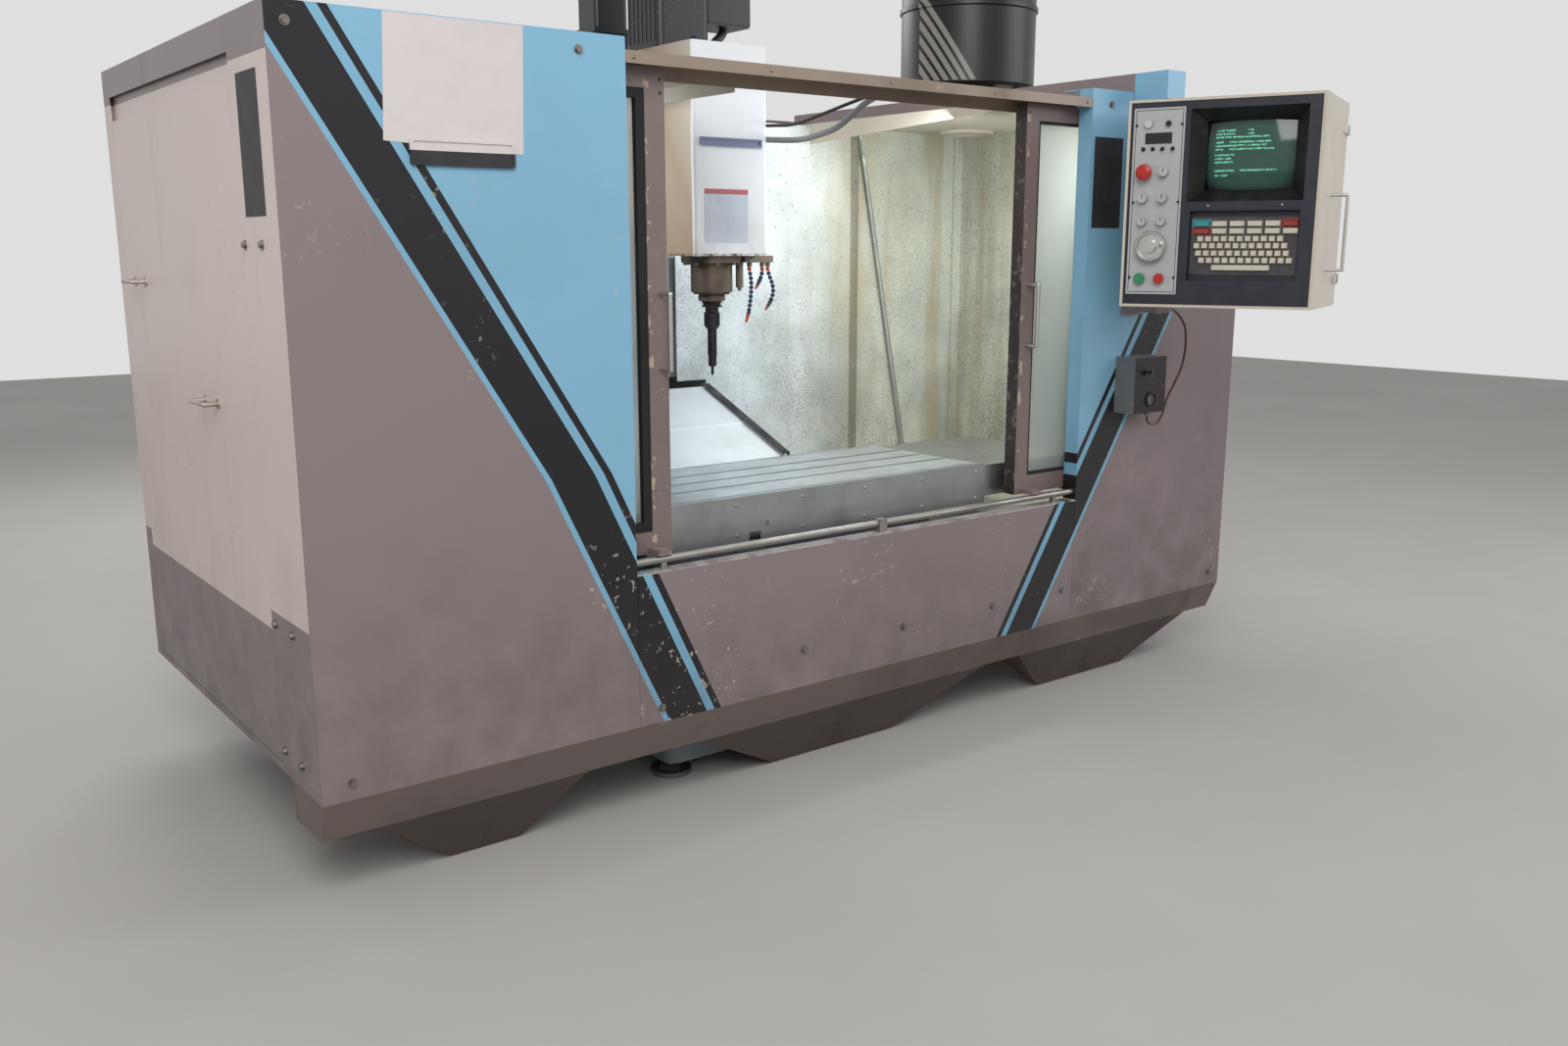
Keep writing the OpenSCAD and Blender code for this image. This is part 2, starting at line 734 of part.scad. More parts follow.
// stainless apron in front of the table
module table_apron() {
  x0 = table_cx - table_l / 2;
  x1 = table_cx + table_l / 2;
  y0 = table_y - table_d / 2;
  color([0.6, 0.6, 0.6]) {
    difference() {
      blk(x0 - 40, x1 + 20, y0 - 17, y0 - 15, table_z - 128, table_z + 1);
      blk(-245, -205, y0 - 18, y0 - 14, table_z - 129, table_z - 104);
    }
    blk(x0 - 40, x1 + 20, y0 - 17, y0, table_z - 1, table_z + 1);
    for (x = [x0 + 60 : 260 : x1 - 60])
      blk(x, x + 30, y0 - 16, y0, table_z - 60, table_z - 50);
    // small clamp strip and tab on its face
    blk(-180, -130, y0 - 23, y0 - 17, table_z - 92, table_z - 74);
  }
  apron_screws();
}

module apron_screws() {
  x0 = table_cx - table_l / 2;
  y0 = table_y - table_d / 2;
  color([0.5, 0.5, 0.5])
    for (x = [x0 + 20 : 236 : x0 + table_l], z = [table_z - 22, table_z - 108])
      translate([x, y0 - 17 + 0.1, z])
        rotate([90, 0, 0])
          cylinder(h = 3, r1 = 6, r2 = 4, $fn = 16);
}

// flat sheet covers at both ends of the table
module table_end_covers() {
  x0 = table_cx - table_l / 2;
  x1 = table_cx + table_l / 2;
  y0 = table_y - table_d / 2 - 12;
  y1 = table_y + table_d / 2 - 8;
  z = table_z - 7;
  color([0.62, 0.63, 0.64])
    for (e = [[x0 - cover_left_l, x0], [x1, x1 + cover_right_l]]) {
      blk(e[0], e[1], y0, y1, z - 2, z);
      blk(e[0], e[1], y0, y0 + 2, z - 100, z);
      blk(e[0], e[1], y1 - 2, y1, z - 60, z);
      for (x = [e[0], e[1] - 2])
        blk(x, x + 2, y0, y1, z - 60, z);
    }
}

module head_casting() {
  back = head_plate_y;
  color([0.78, 0.78, 0.74])
    difference() {
      union() {
        // slide plate on the column's ways
        rblk(-170, 170, back - 45, back, head_z - 10, head_top + 40, 8);
        blk(-110, 110, -70, back - 44, head_z + 2, head_z + 300);
        blk(-100, 100, 60, back - 44, head_z + 299, head_top - 20);
        translate([0, 0, head_z + 2])
          cylinder(h = 300, r = 100);
        rblk(-125, 125, 110, 340, head_top - 25, head_top, 20);
      }
      translate([0, 0, head_z - 20])
        cylinder(h = 400, r = cart_r);
      // lightened sides
      for (s = [-1, 1])
        blk(min(s * 80, s * 120), max(s * 80, s * 120), 130, back - 120, head_z + 40, head_z + 250);
    }
}

module head_cover() {
  back = 455;
  t = 2;
  color([0.93, 0.92, 0.88]) {
    difference() {
      rblk(-head_hw, head_hw, -head_front, back + 30, head_z, head_top, 12);
      rblk(-head_hw + t, head_hw - t, -head_front + t, back + 60, head_z - 1, head_top - t, 10);
      blk(-head_hw - 1, head_hw + 1, back, back + 60, head_z - 1, head_top + 1);
      blk(-126, 126, 108, back + 1, head_top - 30, head_top + 1);
    }
    // fixing tabs to the casting
    for (z = [head_z + 60, head_z + 260], s = [-1, 1])
      blk(min(s * (head_hw - 1), s * 110), max(s * (head_hw - 1), s * 110), 80, 100, z, z + 20);
  }
  head_plate();
}

// plain plate where the photographed one carries a name, and its lower rim
module head_plate() {
  color([0.35, 0.38, 0.5])
    difference() {
      blk(-112, 112, -head_front - 7, -head_front, 1790, 1814);
      blk(-106, 106, -head_front - 8, -head_front - 4, 1796, 1808);
    }
}

module spindle_cartridge() {
  color([0.4, 0.38, 0.34])
    difference() {
      union() {
        translate([0, 0, head_z - 21])
          cylinder(h = 21, r = 94);
        rotate_extrude($fn = 64)
          polygon([
            [shaft_r + run_gap, nose_z + 21], [cart_r - 9, nose_z + 21], [cart_r - 6, nose_z + 28],
            [cart_r, nose_z + 28], [cart_r, head_z + 320], [shaft_r + run_gap, head_z + 320]
          ]);
      }
      translate([0, 0, nose_z])
        cylinder(h = 600, r = shaft_r + run_gap);
    }
}

module spindle_motor() {
  color([0.1, 0.1, 0.11]) {
    rblk(-96, 96, 130, 322, head_top, head_top + 330, 22);
    rblk(-86, 86, 140, 312, head_top + 329, head_top + 345, 22);
    rblk(-96, 96, 130, 322, head_top + 344, head_top + 430, 30);
    for (i = [0 : 6])
      blk(-98, -95.5, 150 + i * 24, 158 + i * 24, head_top + 30, head_top + 300);
    // eye bolt seat on the front
    translate([40, 130.5, head_top + 40])
      rotate([90, 0, 0])
        cylinder(h = 14, r = 11);
  }
  motor_terminal_box();
}

module motor_terminal_box() {
  color([0.1, 0.1, 0.11]) {
    rblk(96, 262, 142, 292, head_top + 100, head_top + 340, 6);
    blk(100, 258, 146, 288, head_top + 94, head_top + 101);
  }
  // corrugated conduit from the box down to the head
  color([0.03, 0.03, 0.03])
    for (i = [0 : 24])
      let (t = i / 24, s = 3 * t * t - 2 * t * t * t, ds = 6 * t * (1 - t))
        translate([206 - 104 * s, 215 - 66 * s, head_top + 98 - 93.8 * t])
          rotate([0, atan2(104 * ds, 94), 0])
            cylinder(h = i % 2 == 0 ? 8 : 9, r = i % 2 == 0 ? 14 : 12, center = true, $fn = 20);
}

// a chain of snap-together balls that bends by one angle at each, ending in a tapered nozzle
function chain(p, bends, step, i = 0) =
  i == len(bends)
    ? [p]
    : concat([p], chain(p + step * [sin(bends[i]), -0.08, -cos(bends[i])], bends, step, i + 1));

module coolant_line(start, bends) {
  ball = 7;
  balls = chain(start, bends, 2 * ball + 0.2);
  last = len(bends);
  for (i = [0 : last - 1])
    translate(balls[i])
      sphere(ball, $fn = 18);
  translate(balls[last])
    rotate([0, 180 - bends[last - 1], 0])
      translate([0, 0, -ball])
        cylinder(h = 34, r1 = ball, r2 = 3.5);
}

module coolant_nozzles() {
  mz = head_z - 14;
  ports = [118, 168, 190];
  color([0.45, 0.42, 0.38]) {
    blk(92, 202, -52, -26, mz - 7, mz + 14);
    for (x = ports)
      translate([x, -39, mz - 20])
        cylinder(h = 15, r = 8);
    // small air cylinder beside the cartridge
    translate([86, -30, nose_z + 40])
      cylinder(h = head_z - 21 - nose_z - 40, r = 12);
    translate([86, -30, nose_z + 30])
      cylinder(h = 12, r = 6);
  }
  color([0.1, 0.16, 0.34]) {
    coolant_line([ports[0], -39, mz - 27.1], [8, 8, 2, -2, -6, -9, -11, -13, -15, -18]);
    coolant_line([ports[1], -39, mz - 27.1], [-8, -22, -32]);
    coolant_line([ports[2], -39, mz - 27.1], [12, 20, 22, 16, 2, -12, -24, -36]);
  }
}

module spindle() {
  color([0.3, 0.29, 0.28])
    difference() {
      rotate_extrude($fn = 64)
        polygon([
          [0, nose_z], [nose_r - 2, nose_z], [nose_r, nose_z + 2], [nose_r, nose_z + 18],
          [shaft_r, nose_z + 20.7], [shaft_r, head_z + 380], [0, head_z + 380]
        ]);
      translate([0, 0, nose_z - 1])
        cylinder(h = 69, r1 = 22.37, r2 = 12.3);
      translate([0, 0, nose_z + 60])
        cylinder(h = 120, r = 12);
    }
}

module tool_holder() {
  tip = nose_z - 233;
  color([0.12, 0.12, 0.13])
    rotate_extrude($fn = 48)
      polygon([
        [0, nose_z + 66], [12.4, nose_z + 66], [21.9, nose_z + 1], [22.2, nose_z],
        [flange_r - 6, nose_z - 0.3], [flange_r, nose_z - 0.3], [flange_r, nose_z - 5],
        [flange_r - 4, nose_z - 8], [flange_r - 4, nose_z - 12],
        [flange_r, nose_z - 15], [flange_r, nose_z - 19],
        [21, nose_z - 20], [21, nose_z - 34], [chuck_r, nose_z - 38], [chuck_r, nose_z - 76],
        [18, nose_z - 86], [14.5, nose_z - 88], [14.5, nose_z - 171], [12.8, nose_z - 173],
        [12.8, nose_z - 202], [5, nose_z - 206], [0, nose_z - 206]
      ]);
  // spot drill
  color([0.5, 0.5, 0.5]) {
    difference() {
      rotate_extrude($fn = 32)
        polygon([[0, nose_z - 200], [5, nose_z - 200], [5, tip + 6], [0, tip]]);
      for (a = [0, 180])
        rotate([0, 0, a])
          translate([2.2, 0, tip - 1])
            rotate([14, 0, 0])
              cube([6, 6, 22]);
    }
  }
}

module magazine_rails() {
  y = 270;
  color([0.55, 0.56, 0.57]) {
    for (z = [mag_z + 190, mag_z + 250])
      xcyl(inner_l + sheet_t, y, z, -188 - inner_l - sheet_t, rod_r);
    blk(inner_l + sheet_t, inner_l + 33, y - 35, y + 35, mag_z + 160, mag_z + 280);
    blk(-203, -176, y - 30, column_y, mag_z + 168, mag_z + 272);
    blk(-240, -176, column_y - 12, column_y, mag_z + 150, mag_z + 290);
  }
}

module magazine_carriage() {
  y = 270;
  color([0.25, 0.27, 0.29])
    difference() {
      union() {
        blk(-mag_x - 90, -mag_x + 90, -90, y + 40, mag_z + 126, mag_z + 140);
        blk(-mag_x - 55, -mag_x + 55, y - 35, y + 35, mag_z + 139, mag_z + 275);
        translate([-mag_x, 0, mag_z + 139.5])
          cylinder(h = 110, r = 62);
        translate([-mag_x, 0, mag_z + 70])
          cylinder(h = 57, r = 29.95);
      }
      for (z = [mag_z + 190, mag_z + 250])
        xcyl(-mag_x - 56, y, z, 112, rod_r + run_gap);
    }
}

module magazine_disc() {
  color([0.62, 0.63, 0.6])
    translate([-mag_x, 0, 0])
      difference() {
        union() {
          translate([0, 0, mag_z])
            cylinder(h = 10, r = mag_r - 3, $fn = 120);
          translate([0, 0, mag_z + 9.5])
            cylinder(h = 112, r = 88, $fn = 64);
          translate([0, 0, mag_z + 9.5])
            cylinder(h = 22, r1 = 150, r2 = 88, $fn = 64);
        }
        translate([0, 0, mag_z + 60])
          cylinder(h = 70, r = 30);
        // pockets, with a thin lip that runs in the groove of each holder's flange
        for (i = [0 : mag_n - 1])
          rotate([0, 0, i * 360 / mag_n])
            translate([mag_r, 0, 0]) {
              translate([0, 0, nose_z - 8.5])
                cylinder(h = 12, r = pocket_r);
              translate([0, 0, mag_z - 1])
                cylinder(h = nose_z - 11.5 - mag_z + 1, r = pocket_r);
              translate([0, 0, mag_z - 1])
                cylinder(h = 12, r = flange_r - 3.65);
            }
      }
}

// spring fingers that hold the tools beside each pocket
module magazine_grippers() {
  color([0.2, 0.2, 0.21])
    translate([-mag_x, 0, 0])
      for (i = [0 : mag_n - 1])
        rotate([0, 0, (i + 0.5) * 360 / mag_n])
          translate([mag_r - 46, 0, mag_z - 10.05])
            rblk(-14, 26, -4, 4, 0, 10, 3);
}

// holders kept in the magazine
module magazine_tools() {
  color([0.14, 0.14, 0.15])
    translate([-mag_x, 0, 0])
      for (i = [3, 5, 8, 11, 13, 15, 17])
        rotate([0, 0, i * 360 / mag_n])
          translate([mag_r, 0, nose_z])
            rotate_extrude($fn = 32)
              polygon([
                [0, 66], [12.4, 66], [22.2, 0], [flange_r, -0.3], [flange_r, -5], [flange_r - 4, -8],
                [flange_r - 4, -12], [flange_r, -15], [flange_r, -19], [22, -20],
                [22, -52 - 4 * (i % 3)], [8, -60 - 4 * (i % 3)],
                [i % 5 + 3, -110 - 5 * (i % 4)], [0, -112 - 5 * (i % 4)]
              ]);
  magazine_grippers();
}

// children drawn from the lower left corner of the face: X along it, Y into the housing
module pen() {
  translate([piv_x, piv_y, pen_z])
    rotate([0, 0, pen_yaw])
      translate([-piv_lx, -piv_ly, 0])
        children();
}

module on_face(x, z) {
  translate([x, 0, z])
    rotate([90, 0, 0])
      children();
}

module pendant_arms() {
  color([0.46, 0.42, 0.43]) {
    difference() {
      blk(piv_x - boom_w / 2, piv_x + boom_w / 2, yf - 127, cab_y + 60, boom_z, boom_z + 85);
      blk(piv_x - boom_w / 2 + 4, piv_x + boom_w / 2 - 4, yf - 60, cab_y + 61, boom_z + 4, boom_z + 81);
    }
    translate([piv_x, piv_y, pen_z + pen_h - 14])
      cylinder(h = boom_z - pen_z - pen_h + 15, r = stud_r);
    for (y = [yf + 190, 420])
      blk(piv_x - 60, piv_x + 60, y, y + 40, roof_z + sheet_t, boom_z + 0.5);
    blk(piv_x - 60, piv_x + 60, cab_y + 10, cab_y + 50, boom_z - 33, boom_z + 0.5);
  }
  pendant_bracket();
}

module pendant_bracket() {
  color([0.62, 0.6, 0.62]) {
    difference() {
      blk(piv_x - boom_w / 2, piv_x + boom_w / 2, yf - 127, yf - 6, arm_z, arm_z + 32);
      blk(piv_x - boom_w / 2 + 4, piv_x + boom_w / 2 - 4, yf - 60, yf - 5, arm_z + 4, arm_z + 28);
      translate([piv_x, piv_y, arm_z - 1])
        cylinder(h = 34, r = stud_r + run_gap);
    }
    blk(piv_x - boom_w / 2 - 14, piv_x + boom_w / 2 + 14, yf - 6, yf, arm_z - 12, arm_z + 32);
  }
}

module pendant_shell() {
  t = 3;
  color([0.82, 0.79, 0.72])
    pen()
      difference() {
        union() {
          difference() {
            blk(0, pen_w, 0, pen_d, 0, pen_h);
            blk(t, pen_w - t, -1, pen_d + 1, t, pen_h - t);
          }
          // rim that frames the face
          difference() {
            blk(0, pen_w, 0, 3, 0, pen_h);
            blk(8, pen_w - 8, -1, 4, 8, pen_h - 8);
          }
          // pivot bosses
          for (z = [t - 0.5, pen_h - t - 19.5])
            translate([piv_lx, piv_ly, z])
              cylinder(h = 20, r = 24);
          // stud that turns in the lower bracket
          translate([piv_lx, piv_ly, -28])
            cylinder(h = 40, r = stud_r);
          // bail handle on the right side
          for (z = [110, 325])
            xcyl(pen_w - 0.5, 210, z, 46, 5);
          translate([pen_w + 45, 210, 110])
            cylinder(h = 215, r = 5);
          for (z = [110, 325])
            translate([pen_w + 45, 210, z])
              sphere(5);
          // latch strikes on the rear edge
          for (z = [70, 510])
            blk(pen_w - 0.5, pen_w + 7, pen_d - 60, pen_d - 22, z, z + 22);
        }
        translate([piv_lx, piv_ly, pen_h - 24])
          cylinder(h = 26, r = stud_r + run_gap);
      }
}

module pendant_back_cover() {
  gap = 0.4;
  color([0.82, 0.79, 0.72])
    pen() {
      blk(2, pen_w, pen_d + gap, pen_d + gap + 3, 0, pen_h);
      blk(pen_w - 3, pen_w, pen_d + gap, pen_d + 18, 0, pen_h);
      blk(40, pen_w, pen_d + gap, pen_d + 18, pen_h - 3, pen_h);
      blk(40, pen_w, pen_d + gap, pen_d + 18, 0, 3);
      for (i = [0 : 7])
        blk(160, 390, pen_d + gap + 2.5, pen_d + gap + 7, 180 + i * 30, 186 + i * 30);
      // toggle latches
      for (z = [66, 506])
        blk(pen_w - 0.5, pen_w + 8, pen_d + gap, pen_d + 17, z, z + 30);
      translate([0, pen_d + gap + 4, 0])
        cylinder(h = pen_h, r = 4);
      blk(0, 6, pen_d + gap, pen_d + gap + 3, 0, pen_h);
    }
}

// dark front panel with the hooded screen opening and the keyboard recess
module pendant_bezel() {
  color([0.1, 0.12, 0.17])
    pen() {
      difference() {
        blk(8.2, pen_w - 8.2, 3.2, 7.2, 8.2, pen_h - 8.2);
        blk(182, 508, 3, 8, 306, 568);
        blk(195, 503, 3, 8, 79, 280);
        for (c = controls)
          on_face(c[0], c[1])
            translate([0, 0, -9])
              cylinder(h = 8, r = c[2] + 0.35);
      }
      // hood that narrows towards the screen
      translate([345, 7, 437])
        rotate([-90, 0, 0])
          difference() {
            frustum(332, 268, 256, 201, 48);
            translate([0, 0, -0.1])
              frustum(326, 262, 249, 195, 48.2);
          }
      // keyboard tray
      difference() {
        blk(192, 506, 3.2, 27, 76, 283);
        blk(195, 503, 3, 24, 79, 280);
      }
    }
}

module screen_tube() {
  color([0.05, 0.12, 0.1])
    pen()
      intersection() {
        translate([345, 660, 437])
          sphere(612, $fn = 160);
        union() {
          rotate([90, 0, 0])
            linear_extrude(260, center = true)
              rsquare(217, 473, 336, 538, 22);
        }
        blk(200, 500, 30, 75, 320, 560);
      }
}

module operator_plate() {
  color([0.7, 0.71, 0.72])
    pen()
      difference() {
        blk(17, 167, 1.2, 3.2, 38, 576);
        for (c = controls)
          on_face(c[0], c[1])
            translate([0, 0, -9])
              cylinder(h = 9, r = c[2] + 0.35);
      }
  // display, lamp, toggles and screws that stay fixed on the plate
  color([0.05, 0.05, 0.05])
    pen() {
      blk(53, 131, -0.8, 1.4, 474, 505);
      for (x = [49, 77, 105, 135])
        on_face(x, 459)
          translate([0, 0, -1.4])
            cylinder(h = 4, r = 6);
      for (x = [49, 77, 105, 135])
        on_face(x, 459)
          rotate([x % 3 == 0 ? 14 : -14, 0, 0])
            translate([0, 0, 2])
              cylinder(h = 12, r1 = 2.2, r2 = 3);
      for (x = [26, 159], z = [87, 306, 527])
        on_face(x, z)
          translate([0, 0, -1.4])
            cylinder(h = 2.6, r = 4);
      on_face(120, 530)
        translate([0, 0, -1.4])
          cylinder(h = 8, r = 8);
    }
}

// a knob at one of the places above
module knob(i, r, h) {
  pen()
    on_face(controls[i][0], controls[i][1]) {
      difference() {
        cylinder(h = h, r1 = r, r2 = r - 2);
        for (a = [0 : 45 : 315])
          rotate([0, 0, a])
            translate([r + 1.4, 0, 4])
              cylinder(h = h, r = 3, $fn = 12);
      }
      translate([-1, 0, h - 1])
        cube([2, r - 4, 2.4]);
      translate([0, 0, -12])
        cylinder(h = 13, r = controls[i][2]);
    }
}

module rapid_knob() {
  color([0.75, 0.74, 0.72])
    knob(1, 14, 20);
}

module mode_knob() {
  color([0.75, 0.74, 0.72])
    knob(2, 15, 20);
}

module axis_knob() {
  color([0.75, 0.74, 0.72])
    knob(3, 15, 20);
}

module feed_knob() {
  color([0.75, 0.74, 0.72])
    knob(4, 14, 20);
}

module speed_knob() {
  color([0.75, 0.74, 0.72])
    knob(5, 14, 20);
}

module emergency_stop() {
  color([0.75, 0.08, 0.06])
    pen()
      on_face(controls[0][0], controls[0][1])
        rotate_extrude()
          polygon([
            [0, -12], [controls[0][2], -12], [controls[0][2], 14], [22, 17], [24, 22], [22, 30], [14, 34], [0, 35]
          ]);
}

module jog_wheel() {
  color([0.78, 0.78, 0.76])
    pen()
      on_face(controls[6][0], controls[6][1]) {
        rotate_extrude($fn = 64)
          polygon([
            [0, -12], [controls[6][2], -12], [controls[6][2], 6], [42, 6], [45, 10], [45, 22],
            [42, 26], [37, 26], [35, 20], [20, 20], [18, 30], [0, 30]
          ]);
        translate([27, 6, 18])
          cylinder(h = 34, r1 = 6, r2 = 8);
      }
}

module push_button(i, r) {
  pen()
    on_face(controls[i][0], controls[i][1])
      rotate_extrude()
        polygon([
          [0, -12], [controls[i][2], -12], [controls[i][2], 8], [r, 8], [r, 15], [r - 2, 17], [0, 17]
        ]);
}

module start_button() {
  color([0.05, 0.5, 0.3])
    push_button(7, 16);
}

module hold_button() {
  color([0.75, 0.1, 0.08])
    push_button(8, 15);
}

module key_switch() {
  color([0.72, 0.71, 0.68])
    pen()
      on_face(controls[9][0], controls[9][1])
        difference() {
          union() {
            translate([0, 0, -12])
              cylinder(h = 14, r = controls[9][2]);
            translate([0, 0, 1])
              cylinder(h = 8, r1 = 14, r2 = 12);
          }
          translate([-1.5, -7, 5])
            cube([3, 14, 6]);
        }
}

module keyboard() {
  color([0.84, 0.82, 0.74])
    pen() {
      blk(199, 499, 20, 24, 96, 262);
      for (r = key_rows, i = [0 : r[2] - 1])
        let (x = r[0] + i * r[1])
          translate([x, 20.5, r[3]])
            rotate([90, 0, 0])
              frustum(r[4], 18, r[4] - 5, 13, 11);
    }
}

module electrical_cabinet() {
  t = 3;
  color([0.46, 0.42, 0.42]) {
    difference() {
      blk(-cab_hw, cab_hw, cab_y, cab_y + cab_d, cab_z, cab_z + cab_h);
      blk(-cab_hw + t, cab_hw - t, cab_y + t, cab_y + cab_d + 1, cab_z + t, cab_z + cab_h - t);
    }
    // rim for the door, feet to the column and the boom's seat
    difference() {
      blk(-cab_hw, cab_hw, cab_y + cab_d - t, cab_y + cab_d, cab_z, cab_z + cab_h);
      blk(-cab_hw + 25, cab_hw - 25, cab_y + cab_d - t - 1, cab_y + cab_d + 1,
        cab_z + 25, cab_z + cab_h - 25);
    }
    for (x = [-300, 240], z = [cab_z + 120, cab_z + 1100])
      blk(x, x + 60, cab_y - 12, cab_y + 1, z, z + 80);
    blk(cab_hw - 1, piv_x + 70, cab_y + 5, cab_y + 55, boom_z - 45, boom_z - 33);
    blk(cab_hw - 1, cab_hw + 8, cab_y + 5, cab_y + 55, cab_z + 0.7 * cab_h, boom_z - 33);
    blk(-cab_hw + 60, cab_hw - 60, cab_y + t, cab_y + t + 4, cab_z + 90, cab_z + cab_h - 90);
  }
}

module cabinet_door() {
  y = cab_y + cab_d + 0.5;
  color([0.46, 0.42, 0.42]) {
    blk(-cab_hw + 1, cab_hw - 1, y, y + 3, cab_z + 1, cab_z + cab_h - 1);
    for (x = [-cab_hw + 1, cab_hw - 4])
      blk(x, x + 3, y, y + 22, cab_z + 1, cab_z + cab_h - 1);
    for (z = [cab_z + 1, cab_z + cab_h - 4])
      blk(-cab_hw + 1, cab_hw - 1, y, y + 22, z, z + 3);
    for (z = [cab_z + 150, cab_z + cab_h - 250])
      translate([cab_hw - 2, y + 26, z])
        cylinder(h = 100, r = 6);
  }
}

module disconnect_switch() {
  y = cab_y + cab_d + 3.6;
  color([0.7, 0.08, 0.07])
    translate([-cab_hw + 110, y, cab_z + 1050])
      rotate([-90, 0, 0]) {
        cylinder(h = 18, r = 28);
        rblk(-10, 10, -70, 20, 17.5, 34, 6);
      }
}

module junction_box() {
  color([0.4, 0.4, 0.39]) {
    difference() {
      blk(1180, 1344, yf - 80, yf, 955, 1140);
      translate([1268, yf - 81, 1000])
        rotate([-90, 0, 0])
          cylinder(h = 6, r = 20);
    }
    for (z = [1000, 1105])
      xcyl(1178.5, yf - 44, z, 2, 13);
    translate([1268, yf - 80, 1000])
      rotate([90, 0, 0])
        difference() {
          cylinder(h = 5, r = 26);
          translate([0, 0, -1])
            cylinder(h = 7, r = 20);
        }
    translate([1232, yf - 80, 1090])
      rotate([90, 0, 0])
        cylinder(h = 7, r = 9);
    translate([1268, yf - 70, 945])
      cylinder(h = 10.5, r = 10);
  }
  box_switch();
}

module box_switch() {
  color([0.05, 0.05, 0.05])
    translate([1232, yf - 87.3, 1090]) {
      rotate([76, 0, 0])
        cylinder(h = 24, r1 = 3, r2 = 4.5);
    }
}

// hanging metal hose at the right of the work space, clipped to the rear wall
module wash_hose() {
  y = wall_y - 9.9;
  p = [1042, y, roof_z];
  q = [1292, y, 700];
  d = q - p;
  color([0.5, 0.53, 0.5]) {
    translate(p + d * 0.004)
      rotate([0, 180 - atan2(d[0], -d[2]), 0])
        cylinder(h = norm(d) * 0.996, r = 10);
    translate(p + d * 0.03)
      rotate([0, 180 - atan2(d[0], -d[2]), 0]) {
        cylinder(h = 60, r = 12.6, $fn = 6);
        translate([0, 0, 70])
          cylinder(h = 26, r = 12);
      }
    translate([p[0], y, roof_z - 12])
      cylinder(h = 12, r = 12.6);
    blk(q[0] - 24, q[0] + 20, wall_y - 20, wall_y + 0.1, q[2] - 6, q[2] + 8);
  }
}

// blank card and plain plates where the photographed ones carry printing
module front_card() {
  color([0.9, 0.9, 0.88])
    translate([xl, yf - 0.8, 0])
      rotate([90, 0, 0])
        translate([0, 0, -0.8])
          linear_extrude(0.8)
            polygon([[230, 1717], [556, 1700], [566, 1978], [243, 1978]]);
}

module name_plates() {
  color([0.3, 0.3, 0.34]) {
    // plate that overlaps the card's lower edge
    translate([xl + 409, yf - 0.8, 1697])
      rotate([90, 0, 0])
        difference() {
          linear_extrude(8)
            rsquare(-123, 123, -28, 28, 6);
          translate([0, 0, 5])
            linear_extrude(4)
              rsquare(-117, 117, -22, 22, 4);
        }
    blk(xl + 395, xl + 423, yf - 1, yf, 1675, 1694);
  }
  color([0.08, 0.08, 0.09]) {
    blk(xl - 0.8, xl, yf + 78, yf + 217, 1559, 1855);
    blk(wing_r + 17, wing_r + 155, yf - 0.8, yf, 1555, 1835);
  }
  front_card();
}

module panel_bolt() {
  rotate([90, 0, 0]) {
    cylinder(h = 2, r = 11);
    translate([0, 0, 1.9])
      cylinder(h = 6, r = 8, $fn = 6);
  }
}

module panel_bolts() {
  bolt_z = 378;
  color([0.35, 0.33, 0.32]) {
    for (x = [0.04, 0.322, 0.548, 0.775, 0.97])
      translate([wing_l + x * (wing_r - wing_l), yf, x == 0.04 ? 309 : bolt_z])
        panel_bolt();
    for (p = [
      [xl + 705, 1940], [xl + 40, 1940], [xl + 70, 310],
      [wing_r + 90, 1935], [xr - 60, 1300], [xr - 60, 320]
    ])
      translate([p[0], yf, p[1]])
        panel_bolt();
    for (y = [yf + 120, yf + 240], z = [330, 640, 1500])
      translate([xl, y, z])
        rotate([0, 0, -90])
          panel_bolt();
  }
}

// point on a smooth curve through hand-set points
function knot(p, i) = p[max(0, min(len(p) - 1, i))];
function curve(p, i, t) =
  0.5 * (2 * knot(p, i) + (knot(p, i + 1) - knot(p, i - 1)) * t
    + (2 * knot(p, i - 1) - 5 * knot(p, i) + 4 * knot(p, i + 1) - knot(p, i + 2)) * t * t
    + (3 * knot(p, i) - knot(p, i - 1) - 3 * knot(p, i + 1) + knot(p, i + 2)) * t * t * t);
function unit(v) = v / norm(v);

// a round cable swept along the curve, closed at both ends
module cable(p, r, steps = 6, sides = 10) {
  n = (len(p) - 1) * steps;
  c = [for (k = [0 : n]) curve(p, min(floor(k / steps), len(p) - 2), k == n ? 1 : (k % steps) / steps)];
  ring = [
    for (k = [0 : n])
      let (
        last = len(p) - 1,
        d = k == 0 ? unit(p[1] - p[0]) : k == n ? unit(p[last] - p[last - 1]) : unit(c[k + 1] - c[k - 1]),
        a = unit(cross(d, [0.31, 0.95, 0.05])),
        b = cross(d, a)
      )
      for (j = [0 : sides - 1])
        c[k] + r * (cos(360 * j / sides) * a + sin(360 * j / sides) * b)
  ];
  polyhedron(
    points = ring,
    faces = concat(
      [[for (j = [0 : sides - 1]) j]],
      [[for (j = [sides - 1 : -1 : 0]) n * sides + j]],
      [
        for (k = [0 : n - 1], j = [0 : sides - 1])
          let (a = k * sides + j, b = k * sides + (j + 1) % sides)
          [a, a + sides, b + sides, b]
      ]
    )
  );
}

